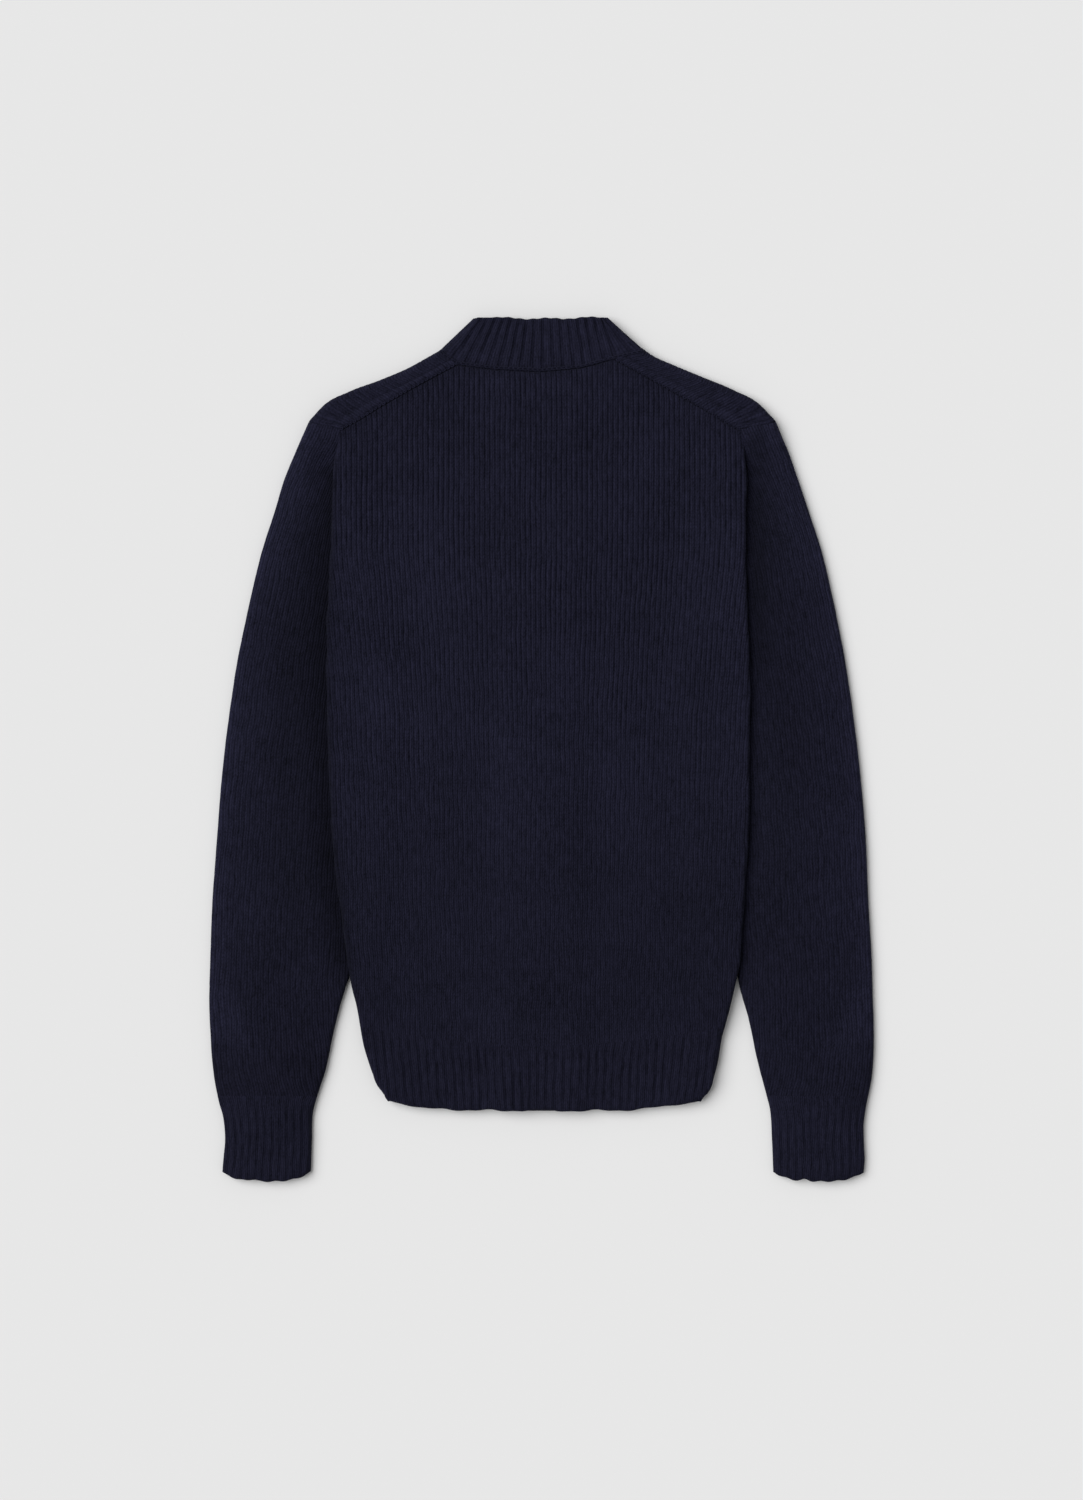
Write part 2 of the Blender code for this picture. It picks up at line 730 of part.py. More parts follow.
def bowed(ring, outer_x, inner_x):
    """The cuff's last ring, its middle let down into the curve of the free edge."""
    middle = 0.5 * (outer_x + inner_x)
    half = 0.5 * (outer_x - inner_x)
    points = []
    for x, _, z in ring:
        off = min(abs(abs(x) - middle) / half, 1.0)
        y = CUFF_BOTTOM_CENTRE + (CUFF_BOTTOM_SIDE - CUFF_BOTTOM_CENTRE) * off**3
        points.append((x, y, z))
    return points


def build_sleeves():
    """Sleeves and cuff ribs: flattened tubes beside the body, open at armhole and cuff."""
    closed_from = [ring.inner_y for ring in SLEEVE_RINGS].index(UNDERARM)
    open_columns = TUBE_COLUMNS + len(ARC) + TUBE_COLUMNS - 1

    def present(row, column):
        return column < open_columns or row >= closed_from

    for side, word in ((-1, "left"), (1, "right")):
        grid = []
        for ring in SLEEVE_RINGS:
            shift = 0.5 * SEAM_GAP if ring.outer_y == CUFF_TOP else 0.0
            outer = (OUTER[side](ring.outer_y), ring.outer_y + shift)
            inner = (sleeve_inner(side, ring.inner_y), ring.inner_y + shift)
            grid.append(tube_section(side, outer, inner, is_open=ring.inner_y > UNDERARM))
        lay_sheet(f"sleeve_{word}", grid, SLEEVE_WALL, NAVY_KNIT, present, closed=True)

        grid = []
        for y in CUFF_RINGS:
            start = y - 0.5 * SEAM_GAP if y == CUFF_TOP else y
            outer_x, inner_x = OUTER[side](y), FREE_INNER[side](y)
            grid.append(tube_section(side, (outer_x, start), (inner_x, start)))
        grid[-1] = bowed(grid[-1], outer_x, inner_x)
        lay_sheet(f"cuff_rib_{word}", grid, SLEEVE_WALL, NAVY_RIB, closed=True)


def build_bands():
    """The two centre-front bands, the buttonhole band below the button band."""
    for name, level in (("buttonhole_band", OUTER_BAND_LEVEL), ("button_band", INNER_BAND_LEVEL)):
        grid = []
        for y in np.linspace(BAND_BOTTOM, BAND_TOP, BAND_ROWS):
            grid.append([(x * BAND_HALF_WIDTH, y, level) for x in (-1.0, 0.0, 1.0)])
        lay_sheet(name, grid, BAND_WALL, NAVY_BAND)


def button_mesh():
    """A turned four-hole button, outer face down, with its dish and its holes cut through."""
    shape = bmesh.new()
    rings = []
    for inset, z in BUTTON_PROFILE:
        ring = []
        for step in range(BUTTON_SIDES):
            turn = 2 * math.pi * step / BUTTON_SIDES
            radius = BUTTON_RADIUS - inset
            point = (radius * math.cos(turn), radius * math.sin(turn), z)
            ring.append(shape.verts.new([value * MM for value in point]))
        rings.append(ring)
    for low, high in zip(rings, rings[1:]):
        for a in range(BUTTON_SIDES):
            b = (a + 1) % BUTTON_SIDES
            shape.faces.new((low[a], low[b], high[b], high[a]))
    shape.faces.new(rings[0][::-1])
    shape.faces.new(rings[-1])
    bmesh.ops.recalc_face_normals(shape, faces=shape.faces)
    mesh = bpy.data.meshes.new("button")
    shape.to_mesh(mesh)
    shape.free()
    return mesh


def hole_cutter():
    """Four pins that cut a button's thread holes."""
    shape = bmesh.new()
    for across in (-1, 1):
        for along in (-1, 1):
            made = bmesh.ops.create_cone(
                shape,
                cap_ends=True,
                segments=8,
                radius1=BUTTON_HOLE_RADIUS * MM,
                radius2=BUTTON_HOLE_RADIUS * MM,
                depth=3 * BUTTON_HEIGHT * MM,
            )
            place = (across * BUTTON_HOLE_SPREAD / 2 * MM, along * BUTTON_HOLE_SPREAD / 2 * MM, 0)
            bmesh.ops.translate(shape, verts=made["verts"], vec=place)
    mesh = bpy.data.meshes.new("button_holes")
    shape.to_mesh(mesh)
    shape.free()
    return mesh


def build_buttons():
    """A row of buttons down the centre front, at even spacing."""
    mesh = button_mesh()
    holes = hole_cutter()
    material = cloth_material("button", DARK_HORN)
    material.node_tree.nodes["Principled BSDF"].inputs["Roughness"].default_value = 0.35
    mesh.materials.append(material)
    for index in range(BUTTON_COUNT):
        place = (0.0, (TOP_BUTTON - BUTTON_SPACING * index) * MM, 0.0)
        button = bpy.data.objects.new(f"button_{index + 1}", mesh)
        button.location = place
        cutter = bpy.data.objects.new(f"button_holes_{index + 1}", holes)
        cutter.location = place
        cutter.hide_render = True
        cutter.display_type = "WIRE"
        for item in (button, cutter):
            bpy.context.scene.collection.objects.link(item)
        cut = button.modifiers.new("thread_holes", "BOOLEAN")
        cut.operation = "DIFFERENCE"
        cut.object = cutter


def main():
    """Clears the scene and builds the cardigan."""
    for item in list(bpy.data.objects):
        bpy.data.objects.remove(item, do_unlink=True)
    build_back()
    build_fronts()
    build_neck_rib()
    build_sleeves()
    build_bands()
    build_buttons()


main()
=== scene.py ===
"""A chunky navy wool cardigan, buttoned and laid out flat on its front, dressed over its solids.

Tables and sizes are in millimetres and become metres where a mesh is made. +Y points to the neck,
+Z up, and +X to the wearer's right.
"""

import logging
import math
import sys
from dataclasses import dataclass, field, replace
from enum import Enum
from typing import Any, Callable, NamedTuple, Optional, Sequence

import bmesh
import bpy
import numpy as np
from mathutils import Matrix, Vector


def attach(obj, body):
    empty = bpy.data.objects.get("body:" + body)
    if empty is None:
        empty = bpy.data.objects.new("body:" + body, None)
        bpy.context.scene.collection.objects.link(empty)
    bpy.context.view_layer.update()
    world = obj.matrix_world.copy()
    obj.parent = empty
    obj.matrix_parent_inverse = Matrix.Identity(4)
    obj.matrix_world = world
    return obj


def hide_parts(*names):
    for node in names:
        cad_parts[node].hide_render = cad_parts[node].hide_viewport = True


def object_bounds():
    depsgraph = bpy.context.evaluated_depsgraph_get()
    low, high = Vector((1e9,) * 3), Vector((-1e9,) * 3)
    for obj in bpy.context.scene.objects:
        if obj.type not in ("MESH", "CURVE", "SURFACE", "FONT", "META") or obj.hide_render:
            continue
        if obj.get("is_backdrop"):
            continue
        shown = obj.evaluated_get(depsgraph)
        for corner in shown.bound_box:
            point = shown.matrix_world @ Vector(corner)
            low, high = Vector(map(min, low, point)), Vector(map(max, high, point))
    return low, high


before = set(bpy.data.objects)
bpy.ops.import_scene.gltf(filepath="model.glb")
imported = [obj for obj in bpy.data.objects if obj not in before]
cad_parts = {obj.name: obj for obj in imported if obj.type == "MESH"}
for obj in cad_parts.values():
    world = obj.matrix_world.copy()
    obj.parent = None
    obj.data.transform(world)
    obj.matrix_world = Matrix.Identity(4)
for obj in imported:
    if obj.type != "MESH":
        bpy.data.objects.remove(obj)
CAD_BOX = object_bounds()

Array = np.ndarray
Socket = bpy.types.NodeSocket
LOG = logging.getLogger("cardigan")
MM = 0.001

# y, left and right half width of the body, sleeve tucked under its side, lift of its side
BODY = (
    (283.2, 179.5, 176.4, -0.4, 0.0),
    (262.0, 181.0, 178.6, -0.4, 0.8),
    (244.0, 183.0, 181.0, -0.4, 3.0),
    (220.0, 184.0, 180.6, 3.0, 3.0),
    (166.0, 186.1, 179.6, 14.0, 3.0),
    (100.0, 188.8, 182.4, 28.0, 3.0),
    (40.0, 188.8, 183.4, 37.5, 3.0),
    (-10.0, 187.0, 183.0, 36.0, 3.0),
    (-60.0, 185.2, 182.4, 32.5, 3.0),
    (-110.0, 180.6, 180.0, 24.0, 3.0),
    (-155.0, 174.6, 176.6, 13.0, 3.0),
    (-198.0, 168.5, 172.4, 0.0, 3.0),
    (-222.0, 163.2, 166.8, 0.0, 1.5),
    (-245.0, 159.0, 161.2, 0.0, 0.0),
    (-264.0, 155.3, 157.1, 0.0, 0.0),
    (-283.0, 150.0, 153.2, 0.0, 0.0),
    (-299.0, 141.6, 148.0, 0.0, 0.0),
    (-308.0, 135.1, 140.4, 0.0, 0.0),
)
# y, left and right outer edge of the sleeves
SLEEVE_OUTER = (
    (288.0, 205.0, 206.6),
    (277.0, 210.0, 211.0),
    (261.0, 217.0, 217.8),
    (238.0, 226.4, 225.8),
    (211.0, 234.5, 234.8),
    (172.0, 247.0, 247.4),
    (132.0, 256.5, 256.8),
    (79.0, 267.8, 267.2),
    (26.0, 275.8, 275.2),
    (-26.0, 281.8, 281.2),
    (-79.0, 285.9, 285.6),
    (-132.0, 289.8, 287.8),
    (-185.0, 291.8, 290.8),
    (-220.0, 292.6, 291.8),
    (-246.0, 291.8, 292.6),
    (-273.0, 290.0, 292.2),
    (-290.0, 288.0, 290.6),
    (-308.0, 284.4, 287.0),
    (-326.0, 280.0, 284.2),
    (-343.0, 278.6, 283.8),
    (-361.0, 280.2, 284.6),
    (-376.0, 281.4, 283.6),
)
# y, left and right inner edge of the sleeves where they are free of the body
SLEEVE_INNER = (
    (-198.0, 168.5, 172.4),
    (-211.0, 172.9, 174.9),
    (-229.0, 178.2, 180.2),
    (-246.0, 182.4, 184.4),
    (-264.0, 186.1, 187.9),
    (-282.0, 190.0, 192.2),
    (-299.0, 195.6, 196.8),
    (-317.0, 200.8, 201.1),
    (-343.0, 202.0, 202.8),
    (-376.0, 203.0, 204.0),
)
# Height of a ring of a sleeve at its outer edge, and at its inner edge or armhole seam
SLEEVE_RINGS = (
    (287.8, 283.2),
    (280.0, 275.5),
    (268.0, 266.0),
    (254.0, 255.0),
    (238.0, 244.0),
    (211.0, 226.0),
    (172.0, 192.0),
    (132.0, 150.0),
    (79.0, 96.0),
    (26.0, 40.0),
    (-26.0, -16.0),
    (-79.0, -72.0),
    (-132.0, -127.0),
    (-185.0, -182.0),
    (-229.0, -228.0),
    (-264.0, -264.0),
    (-304.0, -304.0),
)
# x, y of the seam that closes the top of the back: shoulder, neck, shoulder
BACK_TOP_SEAM = (
    (-179.5, 280.0),
    (-158.0, 292.0),
    (-141.0, 303.0),
    (-112.0, 319.5),
    (-74.4, 339.7),
    (-42.0, 335.6),
    (0.0, 333.5),
    (34.0, 336.6),
    (63.5, 344.5),
    (86.7, 331.8),
    (121.0, 312.4),
    (144.0, 299.2),
    (158.0, 290.4),
    (176.4, 280.0),
)
# share of the back beyond its neck corner, then the fold of a front over the shoulder: left x and
# y, right x and y, and the way out
SHOULDER = (
    (0.00, 89.5, 351.5, 88.5, 353.5, 0.55, 0.84),
    (0.12, 101.7, 344.7, 99.6, 346.0, 0.51, 0.86),
    (0.26, 116.0, 336.7, 116.0, 338.8, 0.46, 0.89),
    (0.50, 143.0, 325.2, 143.0, 327.6, 0.38, 0.92),
    (0.74, 170.0, 315.0, 170.0, 316.2, 0.42, 0.91),
    (0.90, 191.0, 303.8, 191.5, 304.4, 0.72, 0.69),
    (1.00, 205.0, 288.8, 206.5, 288.8, 0.90, 0.43),
)
# share of a front from its band to its neck corner, then the neck seam and the free edge above it
NECK = (
    (0.00, 17.3, 263.0, 17.3, 301.0),
    (0.08, 22.0, 263.4, 20.5, 301.6),
    (0.32, 38.0, 267.5, 29.5, 305.0),
    (0.55, 58.0, 281.0, 39.0, 316.0),
    (0.74, 74.0, 304.0, 46.5, 334.0),
    (0.88, 84.5, 330.0, 51.0, 356.0),
)


class Side(Enum):
    """A side of the garment as it lies, with the sign of X there."""

    LEFT = -1
    RIGHT = 1

    @property
    def word(self) -> str:
        """The side's name in a piece's name."""
        return self.name.lower()

    @property
    def column(self) -> int:
        """The column of a table that holds this side's values."""
        return self.pick(1, 2)

    def pick(self, left: Any, right: Any) -> Any:
        """The value that belongs to this side."""
        return left if self is Side.LEFT else right


class Knit(Enum):
    """How a piece is knitted, with the value that the relief tree takes for it."""

    PLAIN = 0.0
    RIB = 1.0


def eased(share: Array) -> Array:
    """A smooth step from 0 to 1 over shares 0 to 1."""
    held = np.clip(share, 0.0, 1.0)
    return held * held * (3.0 - 2.0 * held)


class Ramp(NamedTuple):
    """A smooth step from 0 at its start to 1 at its end, which may lie either way."""

    start: float
    end: float

    def __call__(self, place: Array) -> Array:
        """How far up the step places are."""
        return eased((place - self.start) / (self.end - self.start))


class Hump(NamedTuple):
    """A rounded rise, or a dip where its height is below 0, round its middle."""

    middle: float
    reach: float
    height: float

    def __call__(self, place: Array) -> Array:
        """The rise at places."""
        return self.height * np.exp(-(((place - self.middle) / self.reach) ** 2))


class Wave(NamedTuple):
    """An even ripple: its height, the run of one radian and its phase."""

    height: float
    run: float
    phase: float = 0.0

    def __call__(self, place: Array, turn: float = 1.0) -> Array:
        """The ripple at places, its phase turned over on a side."""
        return self.height * np.sin(place / self.run + self.phase * turn)


class Decay(NamedTuple):
    """A fall from 1 that slows down, by its reach."""

    reach: float

    def __call__(self, place: Array) -> Array:
        """What is left at places."""
        return np.exp(-place / self.reach)


class Patch(NamedTuple):
    """A patch of painted shade, a painted highlight where it is below 0: how it lies across, where
    it starts and ends, and its depth.
    """

    across: Callable
    along: tuple
    depth: float = 1.0

    def __call__(self, away: Array, y: Array) -> Array:
        """The shade at places."""
        return self.depth * self.across(away) * math.prod(ramp(y) for ramp in self.along)


class Crease(NamedTuple):
    """A soft trough or ridge from one point to another, with its width and height."""

    x0: float
    y0: float
    x1: float
    y1: float
    width: float
    height: float

    def __call__(self, x: Array, y: Array, bow: float = 0.06, taper: float = 3.0) -> Array:
        """How far the crease raises the cloth.

        Args:
            x: Places across, signed.
            y: Places along.
            bow: How far the crease bows out, as a share of its length.
            taper: How soon it grows from its ends, 1 being as slow as its whole length.

        Returns:
            The change of height at each place.
        """
        run_x, run_y = self.x1 - self.x0, self.y1 - self.y0
        length = math.hypot(run_x, run_y)
        along = ((x - self.x0) * run_x + (y - self.y0) * run_y) / length
        off = ((x - self.x0) * run_y - (y - self.y0) * run_x) / length
        bent = off + bow * length * np.sin(np.pi * along / length)
        ends = eased(along / length * taper) * eased((1.0 - along / length) * taper)
        return self.height * ends * np.exp(-((bent / self.width) ** 2))


def creased(x: Array, y: Array, creases: Sequence[Crease]) -> Array:
    """How far a set of creases raises the cloth at places."""
    return sum(crease(x, y) for crease in creases)


class Track:
    """A smooth curve through one column of a short table."""

    def __init__(self, places: Sequence[float], values: Sequence[float]) -> None:
        """Sorts the rows and takes their slopes."""
        order = np.argsort(places)
        self.places = np.asarray(places, float)[order]
        self.values = np.asarray(values, float)[order]
        self.slopes = np.gradient(self.values, self.places)

    def __call__(self, place: Any) -> Array:
        """The values at places, held at the ends of the table."""
        held = np.clip(place, self.places[0], self.places[-1])
        first = np.clip(np.searchsorted(self.places, held) - 1, 0, len(self.places) - 2)
        span = self.places[first + 1] - self.places[first]
        s = (held - self.places[first]) / span
        start = self.values[first] * (1 + 2 * s) + self.slopes[first] * span * s
        end = self.values[first + 1] * (3 - 2 * s) - self.slopes[first + 1] * span * (1 - s)
        return start * (1 - s) ** 2 + end * s * s


def tracks(table: Sequence[Sequence[float]], column: int) -> Track:
    """The curve through one column of a table, read along its first column."""
    return Track([row[0] for row in table], [row[column] for row in table])


@dataclass
class Lay:
    """How the garment lies: its outlines, and the height of the middle of each layer."""

    body_wall: float = 3.2
    sleeve_wall: float = 2.8
    seam_gap: float = 0.3
    top: float = BODY[0][0]
    crotch: float = SLEEVE_INNER[0][0]
    side_waves: tuple = (Wave(0.28, 7.3, 1.3), Wave(0.2, 17.9, -1.3))

    front_level: float = 1.6
    outer_band: float = 4.1
    inner_band: float = 7.2
    outer_band_slope: float = 16.0
    inner_band_slope: float = 26.0
    band_half_width: float = 17.0
    band_margin: float = 5.0
    side_seam_slope: float = 14.0
    least_tuck: float = -0.4

    back_level: float = 8.6
    side_rise: float = 0.9
    side_slope: float = 36.0
    side_margin: float = 40.0
    band_rise: float = 2.3
    beside_bands: Ramp = Ramp(50.0, 24.0)
    above_bands: Ramp = Ramp(336.0, 306.0)
    fold_radius: float = 2.2
    flap: float = 5.0
    corner_left: float = 74.4
    corner_right: float = 63.5
    neck_fold: float = 3.5

    sleeve_under: float = 1.4
    sleeve_edge: float = 5.0
    sleeve_crown: float = 8.1
    sleeve_round: float = 0.38
    sleeve_clear: float = 26.0
    sleeve_tucked: float = 4.75
    tucked_rise: float = 2.4
    tucked_cap: Ramp = Ramp(250.0, 276.0)
    sleeve_top: float = 9.6
    sleeve_cap: Ramp = Ramp(252.0, 280.0)
    cuff_top: float = -304.0
    cuff_end: float = -376.0

    hem_side: float = -243.0
    hem_sag: float = 16.6
    hem_end: float = -308.0
    hem_low: float = -316.0
    hem_corner: float = 8.0
    hem_waves: tuple = (Wave(0.7, 1 / 19, 1.0), Wave(0.4, 1 / 41))
    hem_bump: Hump = Hump(0.8, 0.14, 1.6)

    widths: dict = field(init=False)
    outers: dict = field(init=False)
    inners: dict = field(init=False)
    tuck: Track = field(init=False)
    lift: Track = field(init=False)

    def __post_init__(self) -> None:
        """Reads the tables."""
        self.widths = {side: tracks(BODY, side.column) for side in Side}
        self.outers = {side: tracks(SLEEVE_OUTER, side.column) for side in Side}
        self.inners = {side: tracks(SLEEVE_INNER, side.column) for side in Side}
        self.tuck = tracks(BODY, 3)
        self.lift = tracks(BODY, 4)

    def half_width(self, side: Side, y: Array) -> Array:
        """Half width of the body at a height, its edge a little uneven."""
        return self.widths[side](y) + sum(wave(y, side.value) for wave in self.side_waves)

    def flat(self, side: Side, y: Array) -> Array:
        """Half width of the back up to where its side starts to fold under."""
        return self.half_width(side, y) - 0.5 * self.body_wall - self.fold_radius

    def corner(self, side: Side) -> float:
        """Distance of the neck corner from the centre."""
        return side.pick(self.corner_left, self.corner_right)

    def corner_share(self, side: Side) -> float:
        """The neck corner's place as a share of the flat half width of the back."""
        return self.corner(side) / float(self.flat(side, self.top))

    def turned_under(self, y: Array) -> Array:
        """How far the back's side is turned under, to its side seam."""
        return np.maximum(self.tuck(y), 0.0) + self.flap

    def top_seam(self, x: Array) -> Array:
        """Height of the shoulder and neck seam at places across the back."""
        return np.interp(x, *zip(*BACK_TOP_SEAM))

    def back_height(self, side: Side, x: Array, y: Array, edge_y: Array) -> Array:
        """Height of the middle of the back, over the bands and over the tucked sleeves."""
        inward = self.half_width(side, edge_y) - np.abs(x)
        rise = eased((self.turned_under(edge_y) + self.side_margin - inward) / self.side_slope)
        over_bands = self.beside_bands(np.abs(x)) * self.above_bands(y)
        lifted = (self.side_rise + np.maximum(self.lift(edge_y), 0.0)) * rise
        return self.back_level + self.band_rise * over_bands + lifted

    def front_height(self, side: Side, x: Array, inward: Array, edge_y: Array) -> Array:
        """Height of the middle of a front: flat, rising to its band and to its side seam."""
        band = side.pick(self.outer_band, self.inner_band)
        slope = side.pick(self.outer_band_slope, self.inner_band_slope)
        to_band = eased((self.band_half_width + self.band_margin + slope - np.abs(x)) / slope)
        to_side = eased((self.side_seam_slope - inward) / self.side_seam_slope)
        rise = (band - self.front_level) * to_band
        return self.front_level + rise + np.maximum(self.lift(edge_y), 0.0) * to_side

    def shoulder(self, side: Side, share: Array) -> tuple:
        """Where the fronts meet the back over a shoulder.

        Args:
            side: The side of the garment.
            share: Places from the neck corner to the armhole.

        Returns:
            The seam's x, y and z, then the fold's x and y and the way out across it.
        """
        corner = self.corner_share(side)
        seam_x = (corner + (1.0 - corner) * share) * float(self.flat(side, self.top))
        seam_y = self.top_seam(side.value * seam_x)
        seam_z = self.back_height(side, seam_x, seam_y, np.asarray(self.top))
        fold_x, fold_y, out_x, out_y = (
            tracks(SHOULDER, column)(share) for column in side.pick((1, 2, 5, 6), (3, 4, 5, 6))
        )
        length = np.hypot(out_x, out_y)
        return seam_x, seam_y, seam_z, fold_x, fold_y, out_x / length, out_y / length

    def shoulder_seam(self, side: Side, share: Array) -> Array:
        """Points of the shoulder seam through the middle of the cloth."""
        x, y, z = self.shoulder(side, share)[:3]
        return np.stack([side.value * x, y, z], axis=-1)

    def shoulder_fold(self, side: Side, share: Array, turns: Array) -> Array:
        """Points of a front's fold over the shoulder, one row for each turn from 0 to pi."""
        _, _, top, fold_x, fold_y, out_x, out_y = self.shoulder(side, share)
        radius = 0.5 * (top - self.front_level)
        step = radius * np.sin(turns)[:, None] - 0.5 * self.body_wall - radius
        x = fold_x + step * out_x
        y = fold_y + step * out_y
        z = self.front_level + radius * (1.0 - np.cos(turns)[:, None])
        return np.stack([side.value * x, y, z + 0.0 * x], axis=-1)

    def neckline(self, share: Array) -> tuple:
        """x and y of a front's neck seam, then of the free edge, by the share from its band."""
        return tuple(tracks(NECK, column)(share) for column in range(1, 5))

    def front_reach(self, side: Side, y: Array) -> Array:
        """How far a front reaches from the centre, to its side or armhole seam."""
        tucked = np.maximum(self.tuck(y), self.least_tuck)
        return self.half_width(side, y) - tucked - 3 * self.seam_gap

    def sleeve_inner(self, side: Side, y: Array) -> Array:
        """Inner edge of a sleeve: at its armhole seam, tucked, or free."""
        tucked = self.half_width(side, y) - self.tuck(y)
        return np.where(y > self.crotch, tucked, self.inners[side](y))

    def sleeve_height(self, side: Side, share: Array, x: Array, y: Array) -> Array:
        """Height of the middle of a sleeve's upper layer, share running from its outer edge."""
        edge = np.minimum(share, 1.0 - share) / self.sleeve_round
        crown = 1.0 - (1.0 - np.clip(edge, 0.0, 1.0)) ** 2
        free = self.sleeve_edge + (self.sleeve_crown - self.sleeve_edge) * crown
        clear = eased((x - self.half_width(side, y)) / self.sleeve_clear)
        tucked = self.sleeve_tucked + self.tucked_rise * self.tucked_cap(y)
        height = np.minimum(free, tucked + (self.sleeve_crown - tucked) * clear)
        return height + (self.sleeve_top - height) * self.sleeve_cap(y)

    def hem_top(self, share: Array) -> Array:
        """Height of the seam between body and hem rib."""
        return self.hem_side - self.hem_sag * (1.0 - share * share)

    def hem_bottom(self, side: Side, share: Array) -> Array:
        """Height of the hem's free edge, a little uneven."""
        dips = sum(wave(share) for wave in self.hem_waves) * (1.0 - share**4)
        rise = self.hem_corner * share**5 + self.hem_bump(side.value * share)
        return self.hem_low + dips + rise


LAY = Lay()


def run_along(points: Array, axis: int = 0) -> Array:
    """Distance of each point from the first one of its column, or of its row on axis 1."""
    steps = np.linalg.norm(np.diff(points, axis=axis), axis=-1)
    start = np.zeros_like(np.take(steps, [0], axis=axis))
    return np.concatenate([start, np.cumsum(steps, axis=axis)], axis=axis)


def unit(vectors: Array, least: float = 1e-9) -> Array:
    """Rows of vectors brought to length 1."""
    return vectors / np.maximum(np.linalg.norm(vectors, axis=-1, keepdims=True), least)


def row_courses(points: Array, stitch: float = 3.4) -> Array:
    """Courses counted up each column of a grid from its first row."""
    return (run_along(points) + points[:1, :, 1]) / stitch


def end_relief(points: Array, low: float, high: float, span: float = 5.0) -> Array:
    """Relief that fades towards the first and last row, to low and high there."""
    up = run_along(points)
    down = up[-1:] - up
    return (low + (1 - low) * eased(up / span)) * (high + (1 - high) * eased(down / span))


